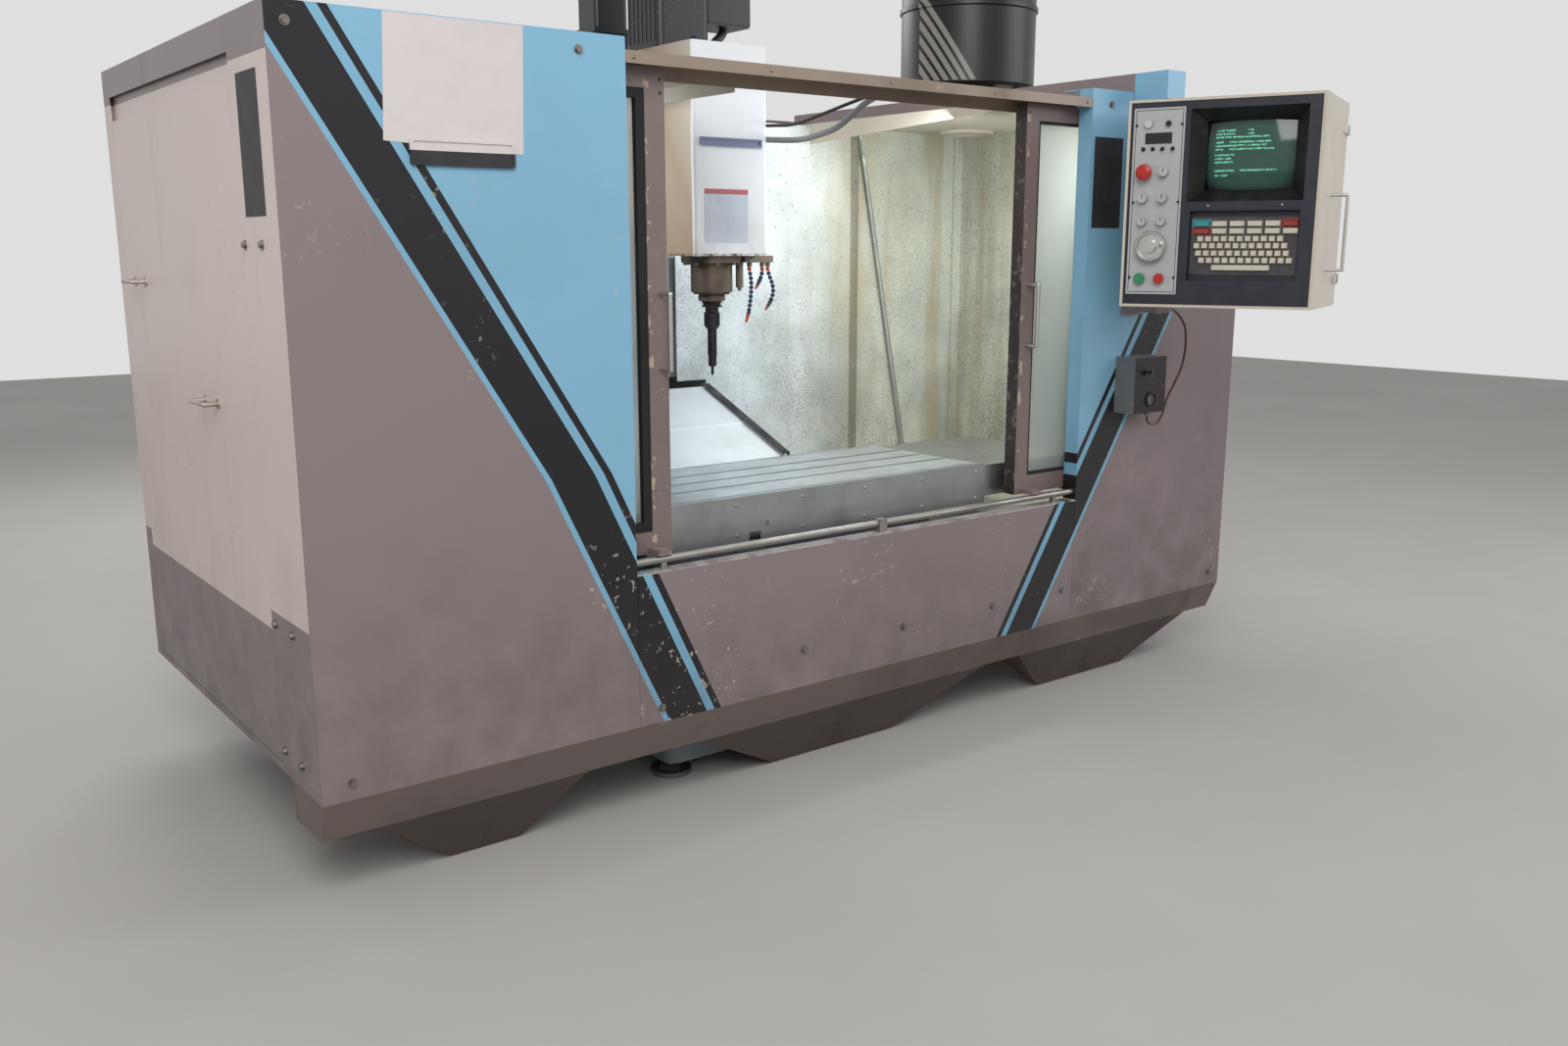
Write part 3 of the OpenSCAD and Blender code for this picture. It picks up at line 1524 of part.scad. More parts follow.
pendant_route = [
  [1293.2, -700, 1303], [1306, -700, 1303], [1345, -702, 1301], [1404, -700, 1286], [1462, -700, 1238],
  [1476, -700, 1170], [1462, -700, 1097], [1425, -700, 1040], [1390, -700, 992], [1362, -704, 938],
  [1325, -708, 912], [1282, -713, 917], [1268, -714, 932], [1268, -714, 944.8]
];

module pendant_cable() {
  color([0.28, 0.15, 0.1])
    cable(pendant_route, 4);
}

head_routes = [
  [
    [138, 10, 1830], [152, 10, 1830], [166, 0, 1828], [177, -50, 1822], [185, -200, 1813],
    [187, -300, 1822], [196, -380, 1842], [238, -440, 1900], [262, -474, 1921], [262, -494, 1921]
  ],
  [
    [138, 22, 1866], [147, 22, 1866], [155, 16, 1866], [158, -10, 1864], [160, -90, 1860],
    [168, -200, 1857], [187, -300, 1877],
    [215, -400, 1904], [262, -440, 1925], [290, -472, 1928], [290, -494, 1928]
  ]
];

module head_cables() {
  color([0.5, 0.5, 0.5])
    cable(head_routes[0], 9);
  color([0.15, 0.1, 0.09])
    cable(head_routes[1], 5);
}

base_casting();
leveling_feet();
column();
chip_pan();
left_wing();
right_wing();
lower_front_panel();
left_side_frame();
access_panel();
right_and_rear_panels();
splash_walls();
roof_front_beam();
roof_plates();
mist_collector();
door_rails();
left_door();
left_door_window();
right_door();
right_door_window();
saddle();
rear_way_cover();
table();
table_apron();
table_end_covers();
head_casting();
head_cover();
spindle_cartridge();
spindle_motor();
coolant_nozzles();
spindle();
tool_holder();
magazine_rails();
magazine_carriage();
magazine_disc();
magazine_tools();
pendant_arms();
pendant_shell();
pendant_back_cover();
pendant_bezel();
screen_tube();
operator_plate();
keyboard();
rapid_knob();
mode_knob();
axis_knob();
feed_knob();
speed_knob();
emergency_stop();
jog_wheel();
start_button();
hold_button();
key_switch();
electrical_cabinet();
cabinet_door();
disconnect_switch();
junction_box();
name_plates();
panel_bolts();
pendant_cable();
head_cables();
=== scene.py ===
import bpy
import bmesh
import json
import math
from mathutils import Matrix, Vector

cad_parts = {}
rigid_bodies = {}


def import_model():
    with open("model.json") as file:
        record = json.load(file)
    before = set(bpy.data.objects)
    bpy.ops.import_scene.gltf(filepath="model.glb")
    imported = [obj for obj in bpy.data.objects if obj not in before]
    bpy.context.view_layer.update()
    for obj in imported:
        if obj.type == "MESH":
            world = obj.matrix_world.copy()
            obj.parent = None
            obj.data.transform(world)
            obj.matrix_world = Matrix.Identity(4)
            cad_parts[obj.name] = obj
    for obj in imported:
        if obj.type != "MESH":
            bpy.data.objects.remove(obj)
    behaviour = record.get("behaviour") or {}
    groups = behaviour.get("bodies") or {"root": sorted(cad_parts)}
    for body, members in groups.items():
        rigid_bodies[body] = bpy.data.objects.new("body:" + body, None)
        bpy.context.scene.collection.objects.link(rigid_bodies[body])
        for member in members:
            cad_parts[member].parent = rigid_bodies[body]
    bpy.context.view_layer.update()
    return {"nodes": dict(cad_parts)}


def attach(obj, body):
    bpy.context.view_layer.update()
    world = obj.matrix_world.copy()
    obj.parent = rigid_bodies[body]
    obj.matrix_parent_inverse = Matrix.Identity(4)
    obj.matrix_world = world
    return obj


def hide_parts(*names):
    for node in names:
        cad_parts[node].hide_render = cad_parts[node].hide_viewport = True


for leftover in list(bpy.data.objects):
    bpy.data.objects.remove(leftover)

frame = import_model()
nodes = frame["nodes"]
print("frame loaded:", len(nodes), "nodes")

# sRGB colours that more than one piece shares
paint = {
    "blue": "#86b9d6",
    "lineBlue": "#7fb3d0",
    "black": "#17151a",
    "mauve": "#8b7d7f",
    "cream": "#e4d4ce",
    "dirt": "#332a26",
    "primer": "#b5aca2",
}


def hexColour(value):
    channels = [int(value[i:i + 2], 16) / 255 for i in (1, 3, 5)]
    return [c / 12.92 if c <= 0.04045 else ((c + 0.055) / 1.055) ** 2.4 for c in channels] + [1.0]


def addNode(tree, kind, inputs=None, stops=None, **settings):
    node = tree.nodes.new(kind)
    for key, value in settings.items():
        setattr(node, key, value)
    for key, value in (inputs or {}).items():
        if isinstance(value, bpy.types.NodeSocket):
            tree.links.new(value, node.inputs[key])
        else:
            node.inputs[key].default_value = value
    if stops:
        ramp = node.color_ramp
        while len(ramp.elements) < len(stops):
            ramp.elements.new(1.0)
        for element, (position, colour) in zip(ramp.elements, stops):
            element.position = position
            element.color = colour
    return node


def startMaterial(name, metallic=0.0, roughness=0.5):
    material = bpy.data.materials.new(name)
    material.use_nodes = True
    tree = material.node_tree
    shader = tree.nodes["Principled BSDF"]
    shader.inputs["Metallic"].default_value = metallic
    shader.inputs["Roughness"].default_value = roughness
    coords = addNode(tree, "ShaderNodeTexCoord").outputs["Object"]
    return material, tree, shader, coords


def patches(tree, coords, scale, low, high, detail=5.0, stretch=(1, 1, 1), roughness=0.6):
    # soft-edged patches: 0 below low, 1 above high; scale is in features per metre
    mapped = addNode(tree, "ShaderNodeMapping", {"Vector": coords, "Scale": stretch})
    noise = addNode(tree, "ShaderNodeTexNoise",
                    {"Vector": mapped.outputs[0], "Scale": scale, "Detail": detail, "Roughness": roughness})
    return addNode(tree, "ShaderNodeMapRange",
                   {"Value": noise.outputs[0], "From Min": low, "From Max": high}).outputs[0]


def joinMasks(tree, first, second, operation="MULTIPLY"):
    # one mask from two: where both hold, or their sum or difference
    return addNode(tree, "ShaderNodeMath", {0: first, 1: second}, operation=operation, use_clamp=True).outputs[0]


def over(tree, factor, under, top):
    # colour top laid over colour under by factor; colours are hex or sockets
    under = hexColour(under) if isinstance(under, str) else under
    top = hexColour(top) if isinstance(top, str) else top
    return addNode(tree, "ShaderNodeMix", {0: factor, 6: under, 7: top}, data_type="RGBA").outputs[2]


def insideBox(tree, coords, limits):
    # 1 where the point lies within every (axis, low, high) of limits
    split = addNode(tree, "ShaderNodeSeparateXYZ", {0: coords})
    result = None
    for axis, low, high in limits:
        value = split.outputs["XYZ".index(axis)]
        for operation, edge in (("GREATER_THAN", low), ("LESS_THAN", high)):
            if edge is None:
                continue
            test = addNode(tree, "ShaderNodeMath", {0: value, 1: edge}, operation=operation).outputs[0]
            result = test if result is None else joinMasks(tree, result, test)
    return result


def bumpFrom(tree, shader, height, strength, distance):
    bump = addNode(tree, "ShaderNodeBump", {"Height": height, "Strength": strength, "Distance": distance})
    tree.links.new(bump.outputs[0], shader.inputs["Normal"])


# what all enamel shares: features per metre, the peel's share in the relief, the relief's strength and depth in
# metres, and how far dirt dulls it
enamel = {"clouds": 1.7, "runs": 7.0, "blotches": 9.0, "chips": 55.0, "chipAreas": 2.6, "peel": 420.0, "buckles": 1.6,
          "peelShare": 0.02, "bump": 0.35, "depth": 0.012, "duller": 0.35}


def bakedEnamel(name, colour, dirt=0.3, chips=0.5, roughness=0.36, lowDirt=None, dirtColour=None, wavy=1.0):
    # baked enamel sprayed on steel sheet: semi-gloss, fine orange peel, rubbed-in shop dirt, chips to the primer
    material, tree, shader, coords = startMaterial(name)
    base = colour(tree, coords) if callable(colour) else hexColour(colour)
    cloud = patches(tree, coords, enamel["clouds"], 0.5, 0.85)
    runs = patches(tree, coords, enamel["runs"], 0.6, 0.9, stretch=(1, 1, 0.09))
    spread = joinMasks(tree, joinMasks(tree, cloud, runs, "ADD"), dirt)
    if lowDirt:
        bottom, clean, most = lowDirt
        height = addNode(tree, "ShaderNodeSeparateXYZ", {0: coords}).outputs[2]
        fade = addNode(tree, "ShaderNodeMapRange",
                       {"Value": height, "From Min": bottom, "From Max": clean, "To Min": most, "To Max": 0.0})
        blotch = patches(tree, coords, enamel["blotches"], 0.3, 0.7)
        spread = joinMasks(tree, spread, joinMasks(tree, fade.outputs[0], blotch), "ADD")
    stained = over(tree, spread, base, dirtColour or paint["dirt"])
    specks = patches(tree, coords, enamel["chips"], 0.655, 0.67, detail=2.0)
    where = patches(tree, coords, enamel["chipAreas"], 0.54, 0.66, detail=3.0)
    chipped = joinMasks(tree, joinMasks(tree, specks, where), chips)
    tree.links.new(over(tree, chipped, stained, paint["primer"]), shader.inputs["Base Color"])
    finish = addNode(tree, "ShaderNodeMapRange",
                     {"Value": spread, "To Min": roughness, "To Max": roughness + enamel["duller"]})
    tree.links.new(finish.outputs[0], shader.inputs["Roughness"])
    peel = addNode(tree, "ShaderNodeTexNoise", {"Vector": coords, "Scale": enamel["peel"], "Detail": 1.0})
    buckle = addNode(tree, "ShaderNodeTexNoise", {"Vector": coords, "Scale": enamel["buckles"], "Detail": 1.0})
    relief = addNode(tree, "ShaderNodeMath",
                     {0: peel.outputs[0], 1: enamel["peelShare"], 2: buckle.outputs[0]}, operation="MULTIPLY_ADD")
    bumpFrom(tree, shader, relief.outputs[0], enamel["bump"] * wavy, enamel["depth"])
    return material


def workedMetal(name, colour, grain=(1, 30, 30), grainScale=60.0, roughness=0.3, stain=0.35,
                stainColour="#5a5048", rust=0.0):
    # bare machined or brushed metal: fine lines along the tool's path, smears of old coolant;
    # grain stretches the lines, drawn coarser than real ones so that they show
    material, tree, shader, coords = startMaterial(name, metallic=1.0)
    lines = patches(tree, coords, grainScale, 0.3, 0.7, detail=3.0, stretch=grain)
    smear = joinMasks(tree, patches(tree, coords, 6.0, 0.4, 0.75), stain)
    body = over(tree, smear, colour, stainColour)
    if rust:
        spots = joinMasks(tree, patches(tree, coords, 30.0, 0.58, 0.7), rust)
        body = over(tree, spots, body, "#6b4a33")
    tree.links.new(body, shader.inputs["Base Color"])
    blur = addNode(tree, "ShaderNodeMath", {0: lines, 1: 0.16, 2: roughness}, operation="MULTIPLY_ADD")
    blurred = addNode(tree, "ShaderNodeMath", {0: smear, 1: 0.4, 2: blur.outputs[0]}, operation="MULTIPLY_ADD")
    tree.links.new(blurred.outputs[0], shader.inputs["Roughness"])
    bumpFrom(tree, shader, lines, 0.12, 0.0006)
    return material


def mouldedPlastic(name, colour, roughness=0.42, grain=1500.0, dust=0.12):
    # injection-moulded plastic or rubber: fine spark-eroded grain, a little dust
    material, tree, shader, coords = startMaterial(name, roughness=roughness)
    base = colour(tree, coords) if callable(colour) else hexColour(colour)
    film = joinMasks(tree, patches(tree, coords, 14.0, 0.45, 0.8), dust)
    tree.links.new(over(tree, film, base, "#8d867d"), shader.inputs["Base Color"])
    pores = addNode(tree, "ShaderNodeTexNoise", {"Vector": coords, "Scale": grain, "Detail": 2.0})
    bumpFrom(tree, shader, pores.outputs[0], 0.2, 0.0004)
    return material


# painted stripes, in metres; slopes are X over Z
stripes = {
    "edges": (0.0, 0.015, 0.133, 0.160, 0.180),  # across them, from the outer light line
    "leftCorner": (-0.933, 0.949),  # X and Z where the left stripes bend
    "leftSlopes": (0.6166, 0.475),  # above and below the bend
    "rightFoot": (0.834, 0.278),
    "rightSlope": 0.6365,
    "scale": 2.0,  # ramp length per metre, with the outer line at the ramp's middle
    "middle": 0.16,  # X that parts the left stripes from the right ones
}


def stripeColours(field, side):
    # a colour builder: mauve, light line, black band, light line, thin black line, then the field colour
    def build(tree, coords):
        split = addNode(tree, "ShaderNodeSeparateXYZ", {0: coords})
        if side == "left":
            cornerX, cornerZ = stripes["leftCorner"]
            rise = addNode(tree, "ShaderNodeMath", {0: split.outputs[2], 1: cornerZ}, operation="SUBTRACT").outputs[0]
            across, start = split.outputs[0], -cornerX
            for part, slope in zip(("MAXIMUM", "MINIMUM"), stripes["leftSlopes"]):
                share = addNode(tree, "ShaderNodeMath", {0: rise, 1: 0.0}, operation=part).outputs[0]
                across = addNode(tree, "ShaderNodeMath", {0: share, 1: slope, 2: across},
                                 operation="MULTIPLY_ADD").outputs[0]
        else:
            footX, footZ = stripes["rightFoot"]
            slope = stripes["rightSlope"]
            flipped = addNode(tree, "ShaderNodeMath", {0: split.outputs[0], 1: -1.0}, operation="MULTIPLY").outputs[0]
            across = addNode(tree, "ShaderNodeMath", {0: split.outputs[2], 1: slope, 2: flipped},
                             operation="MULTIPLY_ADD").outputs[0]
            start = footX - footZ * slope
        scale = stripes["scale"]
        place = addNode(tree, "ShaderNodeMath", {0: across, 1: scale, 2: 0.5 + scale * start},
                        operation="MULTIPLY_ADD")
        bands = (paint["mauve"], paint["lineBlue"], paint["black"], paint["lineBlue"], paint["black"], field)
        starts = [0.0] + [0.5 + scale * edge for edge in stripes["edges"]]
        ramp = addNode(tree, "ShaderNodeValToRGB", {0: place.outputs[0]},
                       stops=[(at, hexColour(colour)) for at, colour in zip(starts, bands)])
        ramp.color_ramp.interpolation = "CONSTANT"
        return ramp.outputs[0]
    return build


def bothStripes(field):
    # the left stripes and the right ones on the same panel
    def build(tree, coords):
        rightSide = insideBox(tree, coords, [("X", stripes["middle"], None)])
        return over(tree, rightSide, stripeColours(field, "left")(tree, coords),
                    stripeColours(field, "right")(tree, coords))
    return build


def splitAt(low, high, limits):
    # a colour builder: high inside the limits, low elsewhere
    return lambda tree, coords: over(tree, insideBox(tree, coords, limits), low, high)


# zones of the splash walls' stains and painted shade, in metres: X ranges, and Z for the low film; the wall greys
# over the right range as painted shade, and hoseShadowX is the strip of the hose's painted shadow
wallZones = {"right": (0.45, 1.2), "low": (0.8, 1.5), "brown": (0.7, 1.5), "hoseShadowX": (1.0, 1.05), "rear": 0.5145}


def splashedWall():
    # white enamel inside the work space, greying towards the right as painted shade: grey coolant film, fine dark
    # specks, brown runs at the right, and a painted shadow of the hose
    material, tree, shader, coords = startMaterial("White enamel, coolant-splashed", roughness=0.4)
    split = addNode(tree, "ShaderNodeSeparateXYZ", {0: coords})
    (rightStart, rightEnd), (lowStart, lowEnd) = wallZones["right"], wallZones["low"]
    right = addNode(tree, "ShaderNodeMapRange",
                    {"Value": split.outputs[0], "From Min": rightStart, "From Max": rightEnd}).outputs[0]
    low = addNode(tree, "ShaderNodeMapRange", {"Value": split.outputs[2], "From Min": lowStart, "From Max": lowEnd,
                                               "To Min": 1.0, "To Max": 0.45}).outputs[0]
    film = patches(tree, coords, 3.6, 0.4, 0.62, detail=9.0)
    grey = addNode(tree, "ShaderNodeMath", {0: low, 1: 0.75}, operation="MULTIPLY").outputs[0]
    fine = patches(tree, coords, 190.0, 0.52, 0.6, detail=3.0)
    where = patches(tree, coords, 2.8, 0.34, 0.58, detail=4.0)
    drops = patches(tree, coords, 75.0, 0.66, 0.7, detail=1.0)
    runs = patches(tree, coords, 9.0, 0.48, 0.75, stretch=(1, 1, 0.08))
    stain = joinMasks(tree, patches(tree, coords, 3.4, 0.42, 0.62, stretch=(1, 1, 0.5)),
                      insideBox(tree, coords, [("X", *wallZones["brown"])]))
    # painted shadow of the hose: a dark strip on the rear wall behind it
    paintedHoseShadow = insideBox(tree, coords, [("X", *wallZones["hoseShadowX"]), ("Y", None, wallZones["rear"])])
    # painted shade: the white greys towards the right, standing in for the light falling off behind the head
    body = over(tree, right, "#e2ebf0", "#bcbfb1")
    for mask, colour in [(joinMasks(tree, film, grey), "#8b928f"),
                         (joinMasks(tree, joinMasks(tree, fine, where), low), "#5c605c"),
                         (joinMasks(tree, drops, 0.6), "#6d6f68"),
                         (joinMasks(tree, joinMasks(tree, runs, right), 0.7), "#8b7650"),
                         (joinMasks(tree, joinMasks(tree, stain, right), 0.55), "#9c8a5a"),
                         (joinMasks(tree, paintedHoseShadow, 0.6), "#4b463c")]:
        body = over(tree, mask, body, colour)
    tree.links.new(body, shader.inputs["Base Color"])
    rough = addNode(tree, "ShaderNodeMapRange", {"Value": film, "To Min": 0.3, "To Max": 0.7})
    tree.links.new(rough.outputs[0], shader.inputs["Roughness"])
    bumpFrom(tree, shader, fine, 0.15, 0.0008)
    return material


def doorPane(name, opening):
    # clear polycarbonate gone milky with coolant, whitening towards the top as a painted glow of the lamp behind it,
    # in a black rubber seal outside the limits
    material, tree, shader, coords = startMaterial(name, roughness=0.32)
    pane = insideBox(tree, coords, opening)
    height = addNode(tree, "ShaderNodeSeparateXYZ", {0: coords}).outputs[2]
    # painted glow: the pane whitens towards the top, standing in for the light behind it
    top = addNode(tree, "ShaderNodeMapRange", {"Value": height, "From Min": 1.1, "From Max": 1.8}).outputs[0]
    haze = patches(tree, coords, 3.0, 0.3, 0.8)
    hazeAndGlow = over(tree, top, "#e2e9e5", "#fafcfd")
    hazeAndGlow = over(tree, joinMasks(tree, haze, 0.35), hazeAndGlow, "#ced6d1")
    tree.links.new(over(tree, pane, "#0d0d0e", hazeAndGlow), shader.inputs["Base Color"])
    tree.links.new(joinMasks(tree, pane, 0.72), shader.inputs["Transmission Weight"])
    blur = addNode(tree, "ShaderNodeMapRange", {"Value": pane, "To Min": 0.7, "To Max": 0.28})
    tree.links.new(blur.outputs[0], shader.inputs["Roughness"])
    return material


# the pendant hangs turned on its post: the same point in the row and on the pendant, millimetres and degrees
pendantPlace = {"row": (1249, -750, 1319.3), "own": (30, 343, 0), "turn": -68}
pendantTurn = Matrix.Rotation(math.radians(pendantPlace["turn"]), 3, "Z")


def penPoint(x, y, z):
    # the pendant's own millimetres to row metres
    away = Vector((x, y, z)) - Vector(pendantPlace["own"])
    return (Vector(pendantPlace["row"]) + pendantTurn @ away) / 1000


def penLocal(place):
    # row metres to the pendant's own millimetres: X along its face, Y into it, Z up from its underside
    away = Vector(place) * 1000 - Vector(pendantPlace["row"])
    return Vector(pendantPlace["own"]) + pendantTurn.inverted() @ away


def pendantFrame(tree, coords):
    # the same turn inside a material, in metres
    return addNode(tree, "ShaderNodeMapping",
                   {"Vector": coords, "Location": penLocal((0, 0, 0)) / 1000,
                    "Rotation": (0, 0, -math.radians(pendantPlace["turn"]))}).outputs[0]


# the screen, in the pendant's metres; each bar is its height, start and end
screen = {
    "middle": (0.345, 0.0, 0.437),
    "perMetre": (7.8, 0.0, 9.9),  # one over half the glow's width and height
    "barHeight": 0.0048,
    "bars": [(0.505, 0.245, 0.300), (0.505, 0.335, 0.352), (0.495, 0.245, 0.300), (0.495, 0.335, 0.352),
             (0.486, 0.245, 0.395), (0.472, 0.245, 0.268), (0.472, 0.285, 0.400), (0.462, 0.245, 0.390),
             (0.452, 0.245, 0.268), (0.452, 0.285, 0.410), (0.436, 0.245, 0.300), (0.426, 0.245, 0.292),
             (0.416, 0.245, 0.298), (0.392, 0.245, 0.302), (0.392, 0.318, 0.420), (0.378, 0.245, 0.285)],
}


def screenColours(tree, coords):
    # dark phosphor glass, greener towards its middle, with broken rows of lit bars
    local = pendantFrame(tree, coords)
    fromMiddle = addNode(tree, "ShaderNodeVectorMath", {0: local, 1: screen["middle"]},
                         operation="SUBTRACT").outputs[0]
    flat = addNode(tree, "ShaderNodeVectorMath", {0: fromMiddle, 1: screen["perMetre"]},
                   operation="MULTIPLY").outputs[0]
    power = addNode(tree, "ShaderNodeVectorMath", {0: flat, 1: flat}, operation="MULTIPLY").outputs[0]
    spread = addNode(tree, "ShaderNodeVectorMath", {0: power, 1: power}, operation="DOT_PRODUCT").outputs["Value"]
    glow = addNode(tree, "ShaderNodeMapRange",
                   {"Value": spread, "From Min": 0.35, "From Max": 1.1, "To Min": 1.0, "To Max": 0.0}).outputs[0]
    bars = None
    for z, start, end in screen["bars"]:
        bar = insideBox(tree, local, [("X", start, end), ("Z", z, z + screen["barHeight"])])
        bars = bar if bars is None else joinMasks(tree, bars, bar, "ADD")
    grain = addNode(tree, "ShaderNodeTexNoise", {"Vector": local, "Scale": 260.0, "Detail": 1.0})
    broken = addNode(tree, "ShaderNodeMath", {0: grain.outputs[0], 1: 0.45}, operation="GREATER_THAN").outputs[0]
    field = over(tree, glow, "#0b1010", "#2f544b")
    return over(tree, joinMasks(tree, bars, broken), field, "#86ecc2")


def keyColours(tree, coords):
    # cream key caps on a dark tray, the end keys of the top rows coloured
    local = pendantFrame(tree, coords)
    body = over(tree, insideBox(tree, local, [("Y", 0.0185, None)]), "#cfc7b6", "#3a3a3f")
    marks = [([("X", 0.2, 0.256), ("Z", 0.2335, 0.256)], "#2f8f96"),
             ([("X", 0.452, 0.51), ("Z", 0.2335, 0.256)], "#8f2724"),
             ([("X", 0.2, 0.256), ("Z", 0.2115, 0.2333)], "#8f2724")]
    for limits, colour in marks:
        body = over(tree, insideBox(tree, local, limits), body, colour)
    return body


def plateColours(tree, coords):
    # silver panel with a fine dark border line
    local = pendantFrame(tree, coords)
    outer = insideBox(tree, local, [("X", 0.0225, 0.1615), ("Z", 0.0435, 0.5705)])
    inner = insideBox(tree, local, [("X", 0.0245, 0.1595), ("Z", 0.0455, 0.5685)])
    return over(tree, joinMasks(tree, outer, inner, "SUBTRACT"), "#b4b5b7", "#1b1b1e")


# the head cover's zones, in metres: half its width, Z and Y ranges over which its sides darken as painted shade, top
# of the grimed rim
headZones = {"half": 0.1366, "lower": (1.98, 1.6), "inward": (-0.1, 0.12), "rim": 1.476}


def headColours(tree, coords):
    # white front; sides painted darker tan, more so low down and towards the rear, as painted shade; a grimed lower
    # rim
    split = addNode(tree, "ShaderNodeSeparateXYZ", {0: coords})
    lower = addNode(tree, "ShaderNodeMapRange",
                    {"Value": split.outputs[2], "From Min": headZones["lower"][0],
                     "From Max": headZones["lower"][1]}).outputs[0]
    inward = addNode(tree, "ShaderNodeMapRange",
                     {"Value": split.outputs[1], "From Min": headZones["inward"][0],
                      "From Max": headZones["inward"][1]}).outputs[0]
    # painted shade: the sides darken to tan lower down and further back
    shadedTan = over(tree, joinMasks(tree, lower, inward, "ADD"), "#cfc8bc", "#a08a74")
    sides = joinMasks(tree, insideBox(tree, coords, [("X", None, -headZones["half"])]),
                      insideBox(tree, coords, [("X", headZones["half"], None)]), "ADD")
    body = over(tree, sides, "#eef2f7", shadedTan)
    rim = insideBox(tree, coords, [("Z", None, headZones["rim"])])
    grime = patches(tree, coords, 45.0, 0.4, 0.6)
    return over(tree, joinMasks(tree, rim, grime), body, "#43352a")


def nozzleColours(tree, coords):
    # manifold and air cylinder in stained metal, blue balls between orange ends
    split = insideBox(tree, coords, [("X", 0.1, None), ("Z", None, 1.4355)])
    body = over(tree, split, "#7b7063", "#1f2f52")
    for limits in nozzleEnds:
        body = over(tree, insideBox(tree, coords, limits), body, "#c9562b")
    return body


def wornLip(tree, coords):
    # stripes over the lower panel, its top fold rubbed to bare steel
    painted = bothStripes(paint["mauve"])(tree, coords)
    fold = insideBox(tree, coords, [("Z", 0.6735, None), ("Y", None, -0.60)])
    return over(tree, joinMasks(tree, fold, patches(tree, coords, 18.0, 0.35, 0.55)), painted, "#b4b1ad")


# X ranges of the doors' worn zones, in metres: the right door's leading strip, its two edges, the left door's edge
doorZones = {"strip": (0.7, 0.7728), "inner": (0.42, 0.493), "outer": (0.7728, 0.79), "left": (-0.6, -0.585)}


def doorColours(tree, coords):
    # brown-mauve frames, chipped along the leading edges; the right door's own is black with wear
    lead = insideBox(tree, coords, [("X", *doorZones["strip"])])
    body = over(tree, lead, "#81716e", "#2d2523")
    rubbed = joinMasks(tree, lead, patches(tree, coords, 34.0, 0.57, 0.63))
    body = over(tree, joinMasks(tree, rubbed, 0.4), body, "#8d7f74")
    edges = insideBox(tree, coords, [("X", *doorZones["inner"])])
    for zone in ("outer", "left"):
        edges = joinMasks(tree, edges, insideBox(tree, coords, [("X", *doorZones[zone])]), "ADD")
    chips = patches(tree, coords, 22.0, 0.575, 0.585, detail=4.0)
    return over(tree, joinMasks(tree, edges, chips), body, "#b9a593")


def boxColours(tree, coords):
    # hammered grey box with a dark brown front plate
    face = insideBox(tree, coords, [("Y", None, -0.7238)])
    return over(tree, face, "#6d6f70", "#1f1916")


# the leaning band of grey lines on the collector, in metres
collectorBand = {
    "drum": (1.45, 0.35),
    "across": (0.7909, -0.6119),  # level direction across the band
    "lean": 0.62,
    "foot": 2.084,
    "reach": 0.17,  # from the band's edge to the drum's middle, at the foot
    "width": 0.19,
    "pitch": 0.032,
    "line": 0.02,
}


def collectorColours(tree, coords):
    # black drum with narrow grey lines
    band = collectorBand
    (drumX, drumY), (acrossX, acrossY) = band["drum"], band["across"]
    start = band["reach"] - band["lean"] * band["foot"] - drumX * acrossX - drumY * acrossY
    split = addNode(tree, "ShaderNodeSeparateXYZ", {0: coords})
    offset = start
    for axis, factor in enumerate((acrossX, acrossY, band["lean"])):
        offset = addNode(tree, "ShaderNodeMath", {0: split.outputs[axis], 1: factor, 2: offset},
                         operation="MULTIPLY_ADD").outputs[0]
    ended = addNode(tree, "ShaderNodeMath", {0: offset, 1: band["width"]}, operation="LESS_THAN").outputs[0]
    started = addNode(tree, "ShaderNodeMath", {0: offset, 1: 0.0}, operation="GREATER_THAN").outputs[0]
    cycle = addNode(tree, "ShaderNodeMath", {0: offset, 1: band["pitch"]}, operation="MODULO").outputs[0]
    line = addNode(tree, "ShaderNodeMath", {0: cycle, 1: band["line"]}, operation="LESS_THAN").outputs[0]
    front = insideBox(tree, coords, [("Y", None, drumY), ("Z", 2.1, 2.62)])
    mask = joinMasks(tree, joinMasks(tree, ended, started), joinMasks(tree, line, front))
    return over(tree, mask, "#120f0e", "#8e8c88")


# limits round the orange ends of the coolant lines
nozzleEnds = [
    [("X", 0.1, None), ("Z", 1.4209, 1.4355)],
    [("X", 0.09, 0.135), ("Z", None, 1.288)],
    [("X", 0.13, 0.152), ("Z", None, 1.3765)],
    [("X", 0.158, 0.189), ("Z", None, 1.3085)],
]
# limits of the clear part of each pane; its rubber seal lies outside
leftPane = [("X", -1.333, -0.622), ("Z", 0.794, 1.852)]
rightPane = [("X", 0.838, 1.581), ("Z", 0.778, 1.868)]

